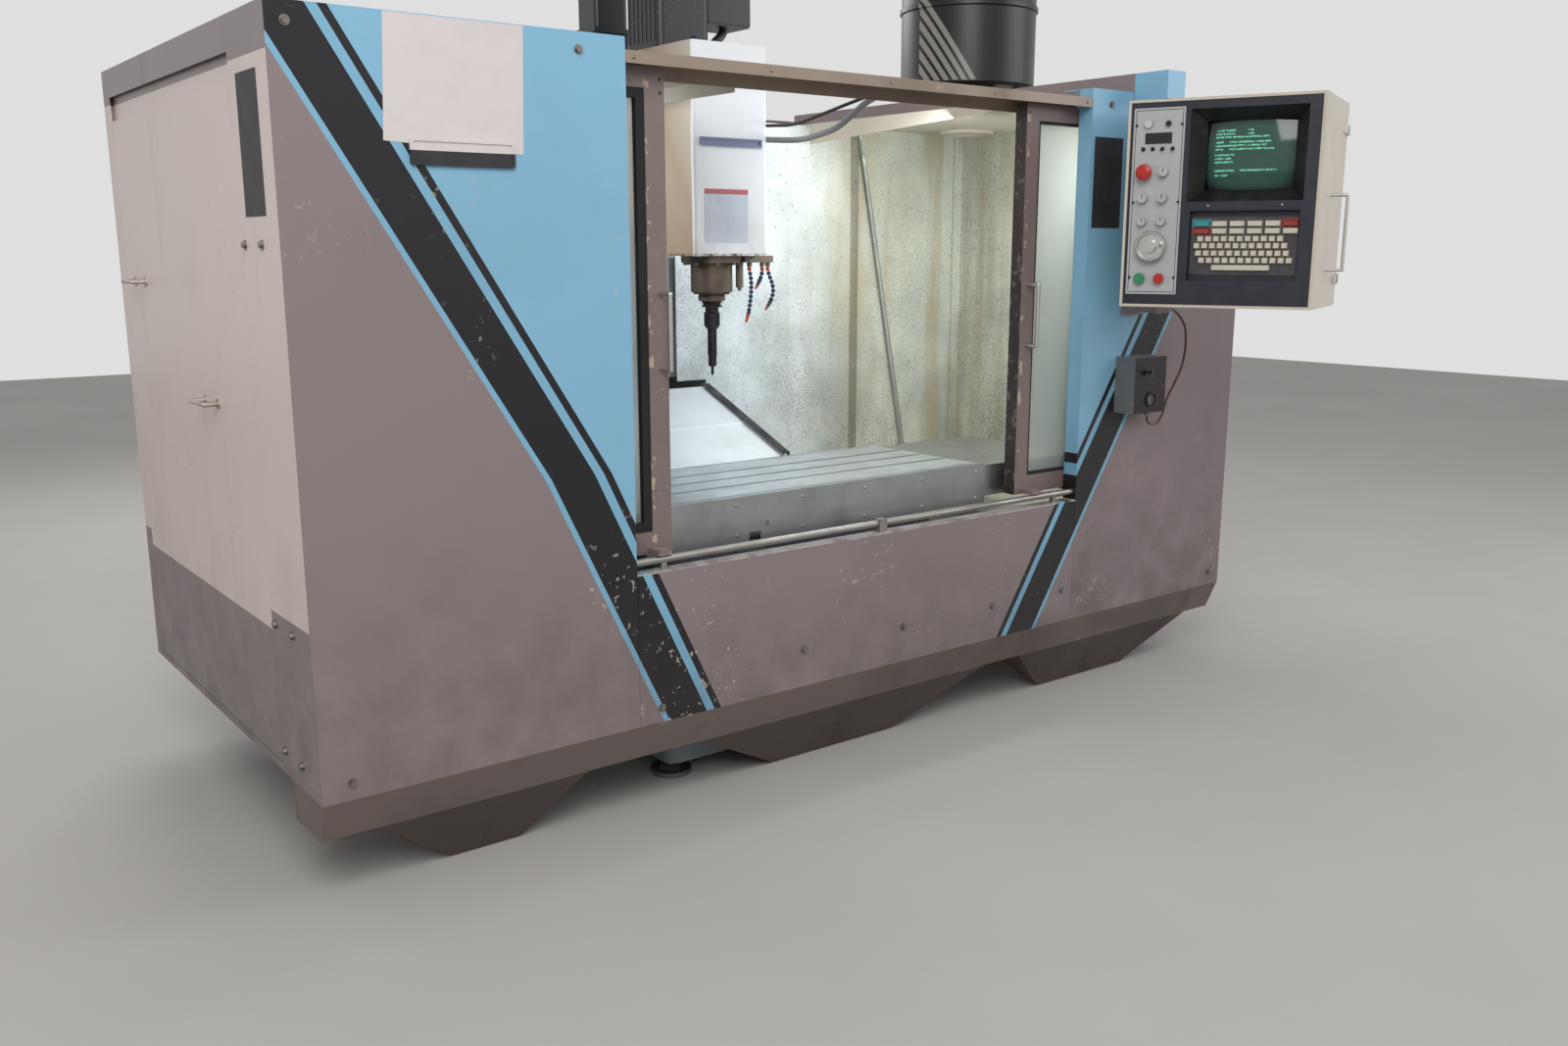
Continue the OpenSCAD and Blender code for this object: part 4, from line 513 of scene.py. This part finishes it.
# every finish of the machine; lowDirt is the height of most dirt, the height where it ends and its share
finishes = {
    "leftWing": bakedEnamel("Blue enamel, left wing", stripeColours(paint["blue"], "left"), dirt=0.16, chips=0.7,
                            lowDirt=(0.27, 0.9, 0.35)),
    "rightWing": bakedEnamel("Blue enamel, right wing", stripeColours(paint["blue"], "right"), dirt=0.2, chips=0.9,
                             lowDirt=(0.27, 1.1, 0.5)),
    "lowerPanel": bakedEnamel("Mauve enamel, lower panel", wornLip, dirt=0.22, chips=0.8, lowDirt=(0.27, 0.6, 0.4)),
    # the pan is darker below 0.168 m: painted shade beneath the front panels
    "pan": bakedEnamel("Brown enamel, chip pan", splitAt("#4a403d", "#6f625e", [("Z", 0.168, None)]), dirt=0.75,
                       chips=0.3, roughness=0.5),
    "sideFrame": bakedEnamel("Two-tone enamel, side frame",
                             splitAt(paint["mauve"], paint["cream"], [("Z", 0.67, 1.885)]),
                             dirt=0.2, lowDirt=(0.27, 0.9, 0.4)),
    "accessPanel": bakedEnamel("Two-tone enamel, access panel",
                               splitAt(paint["mauve"], paint["cream"], [("Z", 0.622, None)]),
                               dirt=0.16, lowDirt=(0.27, 0.8, 0.35)),
    "rearPanels": bakedEnamel("Mauve enamel, side and rear", paint["mauve"], dirt=0.3, lowDirt=(0.27, 0.9, 0.5)),
    "walls": splashedWall(),
    "beam": bakedEnamel("Cream enamel, grimed beam", "#978778", dirt=0.75, chips=0.4, dirtColour="#6a5342"),
    "roof": bakedEnamel("Cream enamel, roof", "#c6bfb0", dirt=0.5, dirtColour="#7a6a58", roughness=0.6),
    "collector": bakedEnamel("Black enamel, collector", collectorColours, dirt=0.1, chips=0.4, roughness=0.36,
                             wavy=0.2),
    "doors": bakedEnamel("Brown-mauve enamel, doors", doorColours, dirt=0.35, chips=0.9),
    "leftPane": doorPane("Polycarbonate, left door", leftPane),
    "rightPane": doorPane("Polycarbonate, right door", rightPane),
    "rails": workedMetal("Drawn steel, rails", "#a9a6a1", stain=0.5, roughness=0.28),
    "casting": bakedEnamel("Grey machine enamel", "#7d868a", dirt=0.6, wavy=1.6),
    "column": bakedEnamel("Pale grey machine enamel", "#a9b0ae", dirt=0.45, wavy=1.4),
    "feet": workedMetal("Zinc-plated steel, feet", "#84827f", stain=0.6, rust=0.4),
    "cover": workedMetal("Stainless sheet, way cover", "#eaf0f5", grain=(30, 1, 1), stain=0.12, roughness=0.48),
    "table": workedMetal("Ground cast iron, table", "#dbe1e7", grain=(1, 40, 40), stain=0.35, roughness=0.3,
                         rust=0.1),
    "apron": workedMetal("Stainless sheet, apron", "#b4b7b8", grain=(1, 30, 30), stain=0.4, roughness=0.24),
    "head": bakedEnamel("White enamel, head cover", headColours, dirt=0.1, chips=0.2, dirtColour="#8a7458",
                        lowDirt=(1.45, 1.7, 0.4)),
    "cartridge": workedMetal("Oiled steel, cartridge", "#776c61", stain=0.7, stainColour="#4a3a2c", rust=0.5),
    "motor": bakedEnamel("Black enamel, motor", "#26272b", dirt=0.15, chips=0.3, roughness=0.33, wavy=0.3),
    "nozzles": mouldedPlastic("Blue and orange acetal, coolant lines", nozzleColours, roughness=0.4),
    "holder": workedMetal("Blackened steel, tool holder", "#3b3c40", stain=0.3, roughness=0.32),
    "disc": workedMetal("Cast aluminium, tool disc", "#b0b1ad", stain=0.4, roughness=0.4),
    "arm": bakedEnamel("Enamel, pendant boom",
                       splitAt(paint["mauve"], paint["blue"], [("Y", None, -0.6441), ("Z", 1.94, None)]),
                       dirt=0.3, chips=0.6),
    "shell": bakedEnamel("Cream enamel, pendant shell", "#cfc4b5", dirt=0.25, chips=0.6, wavy=0.3,
                         dirtColour="#6e5f4e"),
    "bezel": mouldedPlastic("Navy textured enamel, bezel", "#1b1e2a", roughness=0.5, dust=0.06),
    "screen": mouldedPlastic("Phosphor glass, screen", screenColours, roughness=0.08, grain=40.0, dust=0.05),
    "plate": mouldedPlastic("Silver lacquer, operator plate", plateColours, roughness=0.34, dust=0.2),
    "keyboard": mouldedPlastic("Cream moulded keys", keyColours, roughness=0.45, dust=0.3),
    "knob": workedMetal("Turned aluminium, knobs", "#d3d2cf", stain=0.3, stainColour="#4a4a4c", roughness=0.16,
                        grainScale=200.0),
    "stopRed": mouldedPlastic("Red moulded plastic", "#b5251f", roughness=0.3),
    "startGreen": mouldedPlastic("Green moulded plastic", "#1f8a57", roughness=0.3),
    "box": bakedEnamel("Grey hammered enamel, box", boxColours, dirt=0.3, chips=0.5, wavy=2.0),
    "plates": mouldedPlastic("Plain plates and card",
                             splitAt("#26252b", "#d9d2d1", [("X", -1.29, -0.94), ("Z", 1.6999, None)]),
                             roughness=0.55, dust=0.1),
    "bolts": workedMetal("Dulled zinc plate, bolts", "#8f8b87", stain=0.4, rust=0.3),
    "rubber": mouldedPlastic("Black rubber", "#151516", roughness=0.65, dust=0.35),
    "rod": workedMetal("Chromed rod, handles", "#c9c7c3", stain=0.2, roughness=0.2),
    "pull": workedMetal("Dulled chrome, panel handles", "#c4bcb4", stain=0.45, roughness=0.4),
    "badge": workedMetal("Zinc casting, plain badge", "#7d86a0", stain=0.3, roughness=0.35),
    "black": mouldedPlastic("Black moulded plastic", "#121214", roughness=0.35, dust=0.1),
    "hose": workedMetal("Galvanised metal hose", "#b4b8b2", stain=0.3, roughness=0.42, grainScale=20.0),
    "label": mouldedPlastic("Blank label film", splitAt("#c9d1de", "#b9656c", [("Z", 1.651, None)]), roughness=0.3,
                            dust=0.3),
    "ink": mouldedPlastic("Black printing ink", "#1a1a1c", roughness=0.5, dust=0.05),
}

# the CAD nodes that each finish covers
nodesOf = {
    "casting": ["base_casting", "saddle", "head_casting", "magazine_carriage"], "feet": ["leveling_feet"],
    "column": ["column"], "pan": ["chip_pan"], "leftWing": ["left_wing"], "rightWing": ["right_wing"],
    "lowerPanel": ["lower_front_panel"], "sideFrame": ["left_side_frame"], "accessPanel": ["access_panel"],
    "rearPanels": ["right_and_rear_panels", "electrical_cabinet", "cabinet_door"], "walls": ["splash_walls"],
    "beam": ["roof_front_beam"], "roof": ["roof_plates"], "collector": ["mist_collector"],
    "rails": ["door_rails", "magazine_rails"], "doors": ["left_door", "right_door"], "leftPane": ["left_door_window"],
    "rightPane": ["right_door_window"], "cover": ["rear_way_cover"], "table": ["table"],
    "apron": ["table_apron", "table_end_covers"], "head": ["head_cover"],
    "cartridge": ["spindle_cartridge", "spindle"], "motor": ["spindle_motor"], "nozzles": ["coolant_nozzles"],
    "holder": ["tool_holder", "magazine_tools"], "disc": ["magazine_disc"], "arm": ["pendant_arms"],
    "shell": ["pendant_shell", "pendant_back_cover"], "bezel": ["pendant_bezel"], "screen": ["screen_tube"],
    "plate": ["operator_plate"], "keyboard": ["keyboard"],
    "knob": ["rapid_knob", "mode_knob", "axis_knob", "feed_knob", "speed_knob", "jog_wheel", "key_switch"],
    "stopRed": ["emergency_stop", "hold_button", "disconnect_switch"], "startGreen": ["start_button"],
    "box": ["junction_box"], "plates": ["name_plates"], "bolts": ["panel_bolts"],
    "rubber": ["pendant_cable", "head_cables"],
}
for finishName, nodeNames in nodesOf.items():
    for nodeName in nodeNames:
        slots = nodes[nodeName].data.materials
        slots.clear()
        slots.append(finishes[finishName])
print("finishes on all CAD nodes")

# parts of a node with a finish of their own: limits on the faces' middles, in row metres
secondFinishes = [
    ("left_door", "rod", [("Y", None, -0.5845), ("Z", 1.1, 1.5)]),
    ("right_door", "rod", [("Y", None, -0.5845), ("Z", 1.1, 1.5)]),
    ("access_panel", "pull", [("X", None, -1.5152)]),
    ("splash_walls", "hose", [("X", 1.02, 1.33), ("Y", 0.4985, 0.5135), ("Z", 0.69, None)]),
    ("column", "motor", [("Z", 2.0601, None)]),
    ("rear_way_cover", "rubber", [("X", 0.3002, None)]),
    ("rear_way_cover", "rubber", [("X", None, -0.3002)]),
    ("head_cover", "badge", [("Y", None, -0.1092)]),
    ("junction_box", "black", [("Y", None, -0.7242)]),
]
# the same on the pendant, in its own millimetres
pendantFinishes = [
    ("pendant_shell", "rod", [("X", 551.4, None), ("Y", 190, 230)]),
    ("pendant_shell", "rod", [("X", 551.4, None), ("Y", 330, None)]),
    ("pendant_back_cover", "rod", [("X", 551.4, None)]),
    ("operator_plate", "black", [("Y", None, 1.1)]),
    ("pendant_bezel", "black", [("X", 180, 512), ("Y", 7.3, None), ("Z", 300, None)]),
]
pointers = [(knob + "_knob", "ink", [("Y", None, -20.05)]) for knob in ("rapid", "mode", "axis", "feed", "speed")]


def finishFaces(nodeName, finishName, limits, toLocal=tuple):
    mesh = nodes[nodeName].data
    slot = mesh.materials.find(finishes[finishName].name)
    if slot < 0:
        mesh.materials.append(finishes[finishName])
        slot = len(mesh.materials) - 1
    for face in mesh.polygons:
        middle = toLocal(face.center)
        if all((low is None or middle["XYZ".index(axis)] > low) and (high is None or middle["XYZ".index(axis)] < high)
               for axis, low, high in limits):
            face.material_index = slot


for nodeName, finishName, limits in secondFinishes:
    finishFaces(nodeName, finishName, limits)
for nodeName, finishName, limits in pendantFinishes + pointers:
    finishFaces(nodeName, finishName, limits, penLocal)
print("second finishes set")


def plainObject(name, vertices, faces, smooth=False):
    mesh = bpy.data.meshes.new(name)
    mesh.from_pydata(vertices, [], faces)
    work = bmesh.new()
    work.from_mesh(mesh)
    bmesh.ops.recalc_face_normals(work, faces=work.faces)
    work.to_mesh(mesh)
    work.free()
    for face in mesh.polygons:
        face.use_smooth = smooth
    made = bpy.data.objects.new(name, mesh)
    bpy.context.scene.collection.objects.link(made)
    return made


def lathed(name, profile, sides=16, closed=False, smooth=False):
    # profile of (radius, height) turned about Z; a closed one makes a ring
    vertices = [(r * math.cos(2 * math.pi * k / sides), r * math.sin(2 * math.pi * k / sides), z)
                for r, z in profile for k in range(sides)]
    count = len(profile)
    faces = [(i * sides + k, i * sides + (k + 1) % sides, (i + 1) % count * sides + (k + 1) % sides,
              (i + 1) % count * sides + k)
             for i in range(count if closed else count - 1) for k in range(sides)]
    if not closed:
        faces += [tuple(range(sides)), tuple((count - 1) * sides + k for k in range(sides))]
    return plainObject(name, vertices, faces, smooth)


def extruded(name, outline, width):
    # outline of (Y, Z) drawn out along X, centred
    count = len(outline)
    vertices = [(side * width / 2, y, z) for side in (-1, 1) for y, z in outline]
    faces = [(k, (k + 1) % count, count + (k + 1) % count, count + k) for k in range(count)]
    faces += [tuple(range(count)), tuple(range(count, 2 * count))]
    return plainObject(name, vertices, faces)


def repeatTree():
    # copies a small part to every point: its Z along "facing", its X along "heading", with a random spin
    tree = bpy.data.node_groups.new("Repeated part", "GeometryNodeTree")
    for socketName, kind in (("Geometry", "Geometry"), ("Part", "Object"), ("Finish", "Material"), ("Spin", "Float"),
                             ("Seed", "Int")):
        tree.interface.new_socket(socketName, in_out="INPUT", socket_type="NodeSocket" + kind)
    tree.interface.new_socket("Geometry", in_out="OUTPUT", socket_type="NodeSocketGeometry")
    given = addNode(tree, "NodeGroupInput").outputs
    part = addNode(tree, "GeometryNodeObjectInfo", {"Object": given["Part"]}).outputs["Geometry"]
    facing, heading = (addNode(tree, "GeometryNodeInputNamedAttribute", {"Name": attribute},
                               data_type="FLOAT_VECTOR").outputs[0] for attribute in ("facing", "heading"))
    upright = addNode(tree, "FunctionNodeAlignRotationToVector", {"Vector": facing}, axis="Z").outputs[0]
    turned = addNode(tree, "FunctionNodeAlignRotationToVector", {"Rotation": upright, "Vector": heading},
                     axis="X", pivot_axis="Z").outputs[0]
    chance = addNode(tree, "FunctionNodeRandomValue", {"Seed": given["Seed"]}, data_type="FLOAT").outputs[1]
    angle = addNode(tree, "ShaderNodeMath", {0: chance, 1: given["Spin"]}, operation="MULTIPLY").outputs[0]
    euler = addNode(tree, "ShaderNodeCombineXYZ", {"Z": angle}).outputs[0]
    spin = addNode(tree, "FunctionNodeEulerToRotation", {0: euler}).outputs[0]
    spun = addNode(tree, "FunctionNodeRotateRotation", {0: turned, 1: spin}, rotation_space="LOCAL").outputs[0]
    copies = addNode(tree, "GeometryNodeInstanceOnPoints",
                     {"Points": given["Geometry"], "Instance": part, "Rotation": spun}).outputs[0]
    solid = addNode(tree, "GeometryNodeRealizeInstances", {"Geometry": copies}).outputs[0]
    finished = addNode(tree, "GeometryNodeSetMaterial", {"Geometry": solid, "Material": given["Finish"]}).outputs[0]
    addNode(tree, "NodeGroupOutput", {0: finished})
    return tree


repeats = repeatTree()


def repeated(name, body, part, points, finishName, spin=0.0, seed=7):
    # one plain mesh with the part at every point of (place, facing, heading)
    cloud = bpy.data.meshes.new(name + " points")
    cloud.from_pydata([place for place, facing, heading in points], [], [])
    for label, index in (("facing", 1), ("heading", 2)):
        layer = cloud.attributes.new(label, "FLOAT_VECTOR", "POINT")
        for item, point in zip(layer.data, points):
            item.vector = point[index]
    made = bpy.data.objects.new(name, cloud)
    bpy.context.scene.collection.objects.link(made)
    modifier = made.modifiers.new("repeats", "NODES")
    modifier.node_group = repeats
    given = {"Part": part, "Finish": finishes[finishName], "Spin": spin, "Seed": seed}
    for socket in repeats.interface.items_tree:
        if socket.in_out == "INPUT" and socket.name in given:
            modifier[socket.identifier] = given[socket.name]
    made.update_tag()
    bpy.context.view_layer.update()
    plain = bpy.data.meshes.new_from_object(made.evaluated_get(bpy.context.evaluated_depsgraph_get()))
    made.modifiers.remove(modifier)
    made.data = plain
    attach(made, body)
    print(name, len(plain.polygons), "faces")
    return made


up, down, front, back, right = (0, 0, 1), (0, 0, -1), (0, -1, 0), (0, 1, 0), (1, 0, 0)
faceOut, faceAlong = pendantTurn @ Vector(front), pendantTurn @ Vector(right)  # out of the pendant's face, along it

# small parts in metres: profiles of (radius, height) or outlines of (Y, Z), standing on 0
capScrew = lathed("capScrew", [(0.0001, 0.003), (0.003, 0.003), (0.003, 0.007), (0.0055, 0.007), (0.0065, 0.006),
                               (0.0065, 0.0)])
domeRivet = lathed("domeRivet", [(0.0001, 0.0026), (0.002, 0.0024), (0.0042, 0.0013), (0.0052, 0.0)], smooth=True)
sinkScrew = lathed("sinkScrew", [(0.0001, -0.0006), (0.0012, -0.0006), (0.0014, 0.0005), (0.0036, 0.0005),
                                 (0.0042, 0.0)])
tinyScrew = lathed("tinyScrew", [(0.0001, 0.0008), (0.0012, 0.0008), (0.0013, 0.0018), (0.0026, 0.0016),
                                 (0.003, 0.0)], sides=12)
dialTick = extruded("dialTick", [(-0.00035, 0.0), (0.00035, 0.0), (0.00035, 0.00015), (-0.00035, 0.00015)], 0.0032)
louvre = extruded("louvre", [(-0.010, 0.0), (-0.0085, 0.004), (-0.004, 0.0078), (0.002, 0.0092), (0.010, 0.0095),
                             (0.010, 0.0085), (0.002, 0.008), (-0.003, 0.0066), (-0.007, 0.003), (-0.008, 0.0)], 0.15)

# screws in rings under the head, eight to a ring
headScrews = {
    "flangeScrews": {"part": capScrew, "radius": 0.083, "height": 1.448},
    "noseScrews": {"part": tinyScrew, "radius": 0.0595, "height": 1.359},
}
ring = [math.radians(22.5 + 45 * k) for k in range(8)]
fullTurn = 6.28  # slots stand at any angle
for name, spec in headScrews.items():
    points = [((spec["radius"] * math.cos(a), spec["radius"] * math.sin(a), spec["height"]), down, right)
              for a in ring]
    repeated(name, "head", spec["part"], points, "bolts", fullTurn)

# rows of rivets and screws in upright faces: X, Y and Z of each row, its body and finish
frontRows = {
    "wallRivets": {"part": domeRivet, "body": "frame", "finish": "rails", "x": [1.028], "y": 0.514,
                   "z": [0.76 + 0.14 * k for k in range(9)]},
    "beamScrews": {"part": domeRivet, "body": "frame", "finish": "bolts", "x": [-0.66, -0.25, 0.16, 0.57, 0.98],
                   "y": -0.642, "z": [1.936]},
    "leftStileScrews": {"part": sinkScrew, "body": "left_door_leaf", "finish": "ink", "x": [-0.552], "y": -0.584,
                        "z": [1.866, 1.898]},
    "rightStileScrews": {"part": sinkScrew, "body": "right_door_leaf", "finish": "ink", "x": [0.784], "y": -0.584,
                         "z": [1.866, 1.898]},
}
for name, spec in frontRows.items():
    points = [((x, spec["y"], z), front, up) for x in spec["x"] for z in spec["z"]]
    repeated(name, spec["body"], spec["part"], points, spec["finish"], fullTurn)

# what follows is in the pendant's own millimetres
bezelScrews = {"x": (246, 452), "y": 3.2, "z": 294}
repeated("bezelScrews", "pendant", tinyScrew,
         [(penPoint(x, bezelScrews["y"], bezelScrews["z"]), faceOut, faceAlong) for x in bezelScrews["x"]], "rod",
         fullTurn)


def rimMark(middle, radius, depth, degrees):
    # place, facing and heading of one mark on a circle round a control
    a = math.radians(degrees)
    place = penPoint(middle[0] + radius * math.cos(a), depth, middle[1] + radius * math.sin(a))
    return place, faceOut, faceAlong * math.cos(a) + Vector(up) * math.sin(a)


# each selector's middle, number of marks and the degrees that they span; rapid, mode, axis, feed and speed
dials = {"middles": [(115, 392), (57, 318), (115, 318), (58, 251), (115, 251)], "marks": [3, 8, 5, 11, 11],
         "spans": [90, 210, 120, 270, 270], "radius": 20.5, "depth": 1.2}
ticks = [rimMark(middle, dials["radius"], dials["depth"], 90 - span / 2 + span * k / (count - 1))
         for middle, count, span in zip(dials["middles"], dials["marks"], dials["spans"]) for k in range(count)]
repeated("dialTicks", "pendant", dialTick, ticks, "ink")

jogMarks = {"middle": (89, 178), "radius": 39.5, "depth": -26, "count": 50}
repeated("jogTicks", "jog_dial", dialTick,
         [rimMark(jogMarks["middle"], jogMarks["radius"], jogMarks["depth"], 360 / jogMarks["count"] * k)
          for k in range(jogMarks["count"])], "ink")

# the metal hose's rings, from its upper end to its lower one; the rings bulge by 1.4 mm
hose = {"top": (1.042, 0.5101, 1.925), "end": (1.292, 0.5101, 0.705), "pitch": 0.0085, "radius": 0.0094,
        "bulge": 0.0014, "halfLength": 0.0024}
section = [(hose["radius"] + hose["bulge"] * math.cos(k * math.pi / 3),
            hose["halfLength"] * math.sin(k * math.pi / 3))
           for k in range(6)]
hoseRing = lathed("hoseRing", section, sides=14, closed=True, smooth=True)
hoseTop, hoseEnd = Vector(hose["top"]), Vector(hose["end"])
hoseRun = (hoseEnd - hoseTop).normalized()
ringCount = int((hoseEnd - hoseTop).length / hose["pitch"])
repeated("hoseRings", "frame", hoseRing,
         [(hoseTop.lerp(hoseEnd, k / ringCount), hoseRun, front) for k in range(ringCount + 1)], "hose")

louvres = {"x": (-0.24, 0.0, 0.24), "y": 1.3806, "feet": (0.62, 1.62), "rows": 7, "pitch": 0.026}
repeated("doorLouvres", "cabinet_door_leaf", louvre,
         [((x, louvres["y"], foot + louvres["pitch"] * k), back, right)
          for foot in louvres["feet"] for k in range(louvres["rows"]) for x in louvres["x"]], "rearPanels")
for part in (capScrew, domeRivet, sinkScrew, tinyScrew, hoseRing, dialTick, louvre):
    bpy.data.objects.remove(part)


def plainBox(name, body, finishName, corners):
    # a slab from its eight corners, in the order of three nested loops
    made = plainObject(name, corners, [(0, 1, 3, 2), (4, 6, 7, 5), (0, 2, 6, 4), (1, 5, 7, 3), (0, 4, 5, 1),
                                       (2, 3, 7, 6)])
    made.data.materials.append(finishes[finishName])
    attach(made, body)


# rubber flaps over both sides of the sloped rear way cover, in metres
flaps = {"leftFlap": -0.3, "rightFlap": 0.3, "front": 0.004, "rear": 0.479, "halfWidth": 0.014, "thickness": 0.003,
         "foot": (0.003, 0.8202), "slope": (1.014 - 0.820) / 0.477}
for name in ("leftFlap", "rightFlap"):
    footY, footZ = flaps["foot"]
    plainBox(name, "saddle_unit", "rubber",
             [(flaps[name] + dx, y, footZ + flaps["slope"] * (y - footY) + dz) for dz in (0.0, flaps["thickness"])
              for y in (flaps["front"], flaps["rear"]) for dx in (-flaps["halfWidth"], flaps["halfWidth"])])

# blank film on the head cover's front: its planes, sides and edges
headLabel = {"y": (-0.1096, -0.10895), "x": (-0.098, 0.062), "z": (1.508, 1.666)}
plainBox("headLabel", "head", "label",
         [(x, y, z) for y in headLabel["y"] for x in headLabel["x"] for z in headLabel["z"]])
print("details added")


# routes in millimetres, as the solids' own; smooth curves pass through their points
cords = {
    "pendantLead": {
        "node": "pendant_cable", "diameter": 0.008, "colour": "#5a3527", "stiffness": "medium",
        "route": [(1293.2, -700, 1303), (1306, -700, 1303), (1345, -702, 1301), (1404, -700, 1286),
                  (1462, -700, 1238),
                  (1476, -700, 1170), (1462, -700, 1097), (1425, -700, 1040), (1390, -700, 992), (1362, -704, 938),
                  (1325, -708, 912), (1282, -713, 917), (1268, -714, 932), (1268, -714, 944.8)],
    },
    "headHose": {
        "node": "head_cables", "diameter": 0.018, "colour": "#8b8c8e", "stiffness": "stiff",
        "route": [(138, 10, 1830), (152, 10, 1830), (166, 0, 1828), (177, -50, 1822), (185, -200, 1813),
                  (187, -300, 1822), (196, -380, 1842), (238, -440, 1900), (262, -474, 1921), (262, -494, 1921)],
    },
    "headWire": {
        "node": "head_cables", "diameter": 0.010, "colour": "#2b211e", "stiffness": "medium",
        "route": [(138, 22, 1866), (147, 22, 1866), (155, 16, 1866), (158, -10, 1864), (160, -90, 1860),
                  (168, -200, 1857),
                  (187, -300, 1877), (215, -400, 1904), (262, -440, 1925), (290, -472, 1928), (290, -494, 1928)],
    },
}


def throughPoints(points, steps=6):
    # the solids' curve: a smooth cubic through the given points
    result = []
    last = len(points) - 1
    for k in range(last * steps + 1):
        i = min(k // steps, last - 1)
        t = 1.0 if k == last * steps else (k % steps) / steps
        p0, p1, p2, p3 = (points[max(0, min(last, i + step))] for step in (-1, 0, 1, 2))
        result.append(0.5 * (2 * p1 + (p2 - p0) * t + (2 * p0 - 5 * p1 + 4 * p2 - p3) * t * t
                             + (3 * p1 - p0 - 3 * p2 + p3) * t * t * t))
    return result


def jacketed(name, colour):
    # extruded cable jacket: matt rubber with handling marks
    return mouldedPlastic(name, colour, roughness=0.55, grain=900.0, dust=0.3)


for cordName, spec in cords.items():
    path = throughPoints([Vector(p) / 1000 for p in spec["route"]])
    curve = bpy.data.curves.new(cordName, "CURVE")
    curve.dimensions = "3D"
    curve.bevel_depth = spec["diameter"] / 2
    curve.bevel_resolution = 5
    curve.use_fill_caps = True
    spline = curve.splines.new("POLY")
    spline.points.add(len(path) - 1)
    for point, place in zip(spline.points, path):
        point.co = (*place, 1.0)
    spline.use_smooth = True
    curve.materials.append(jacketed("Cable jacket, " + cordName, spec["colour"]))
    cord = bpy.data.objects.new(cordName, curve)
    bpy.context.scene.collection.objects.link(cord)
    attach(cord, "frame")
    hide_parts(spec["node"])

# solved from the machine's own right-angled edges; turns in degrees, lens and sensor in millimetres
view = {"at": (-2.40194, -3.47367, 1.49612), "tilt": 78.28, "turn": -37.73, "sensor": 36, "lens": 30.55}
camera = bpy.data.objects.new("camera", bpy.data.cameras.new("camera"))
bpy.context.scene.collection.objects.link(camera)
camera.location = view["at"]
camera.rotation_euler = (math.radians(view["tilt"]), 0, math.radians(view["turn"]))
camera.data.sensor_width = view["sensor"]
camera.data.lens = view["lens"]
bpy.context.scene.camera = camera

# area lamps, metres and watts; the first three stand inside the enclosure, below its roof
lamps = {
    "wallLamp": {"at": (0.75, -0.35, 1.79), "towards": (0.6, 0.52, 1.1), "size": 0.3, "power": 9.2,
                 "colour": (0.94, 0.98, 1.0)},
    "coverLamp": {"at": (-0.75, 0.1, 1.83), "towards": (-0.1, 0.4, 0.9), "size": 0.26, "power": 5.8,
                  "colour": (0.94, 0.98, 1.0)},
    "paneLamp": {"at": (1.36, -0.3, 1.81), "towards": (1.6, -0.3, 1.6), "size": 0.22, "power": 8.5,
                 "colour": (0.96, 0.99, 1.0)},
    "keySoftbox": {"at": (-3.2, -4.6, 4.6), "towards": (0.0, 0.0, 1.0), "size": 3.4, "power": 205,
                   "colour": (1.0, 0.99, 0.97)},
    "fillSoftbox": {"at": (4.6, -3.4, 3.6), "towards": (0.3, 0.0, 1.0), "size": 3.2, "power": 76,
                    "colour": (0.97, 0.98, 1.0)},
    "backSoftbox": {"at": (0.5, 4.6, 4.2), "towards": (0.0, 0.5, 1.2), "size": 3.0, "power": 115,
                    "colour": (1.0, 1.0, 1.0)},
}
for lampName, spec in lamps.items():
    data = bpy.data.lights.new(lampName, "AREA")
    data.size, data.energy, data.color = spec["size"], spec["power"], spec["colour"]
    lamp = bpy.data.objects.new(lampName, data)
    bpy.context.scene.collection.objects.link(lamp)
    lamp.location = spec["at"]
    lamp.visible_camera = False
    aim = Vector(spec["towards"]) - Vector(spec["at"])
    lamp.rotation_euler = aim.to_track_quat("-Z", "Y").to_euler()

# the world's strength on the object, and as the camera, metal and glass see it
studio = {"onObject": 0.4, "shown": 0.74, "floorHalf": 14.0}
world = bpy.data.worlds.new("studio")
bpy.context.scene.world = world
world.use_nodes = True
sky = world.node_tree.nodes["Background"]
seen = addNode(world.node_tree, "ShaderNodeLightPath")
shown = seen.outputs["Is Camera Ray"]
for ray in ("Is Glossy Ray", "Is Transmission Ray"):
    shown = addNode(world.node_tree, "ShaderNodeMath", {0: shown, 1: seen.outputs[ray]},
                    operation="MAXIMUM").outputs[0]
level = addNode(world.node_tree, "ShaderNodeMapRange",
                {"Value": shown, "To Min": studio["onObject"], "To Max": studio["shown"]})
sky.inputs["Color"].default_value = (1, 1, 1, 1)
world.node_tree.links.new(level.outputs[0], sky.inputs["Strength"])

bpy.context.scene.view_settings.view_transform = "Standard"

floorMesh = bpy.data.meshes.new("studioFloor")
half = studio["floorHalf"]
floorMesh.from_pydata([(-half, -half, 0), (half, -half, 0), (half, half, 0), (-half, half, 0)], [], [(0, 1, 2, 3)])
floor = bpy.data.objects.new("studioFloor", floorMesh)
bpy.context.scene.collection.objects.link(floor)
floorMaterial, floorTree, floorShader, floorCoords = startMaterial("Pale matt floor", roughness=0.75)
floorColour = over(floorTree, patches(floorTree, floorCoords, 0.8, 0.3, 0.8), "#bfbdb9", "#b6b4b0")
floorTree.links.new(floorColour, floorShader.inputs["Base Color"])
floorMesh.materials.append(floorMaterial)
print("camera, lamps and floor set")
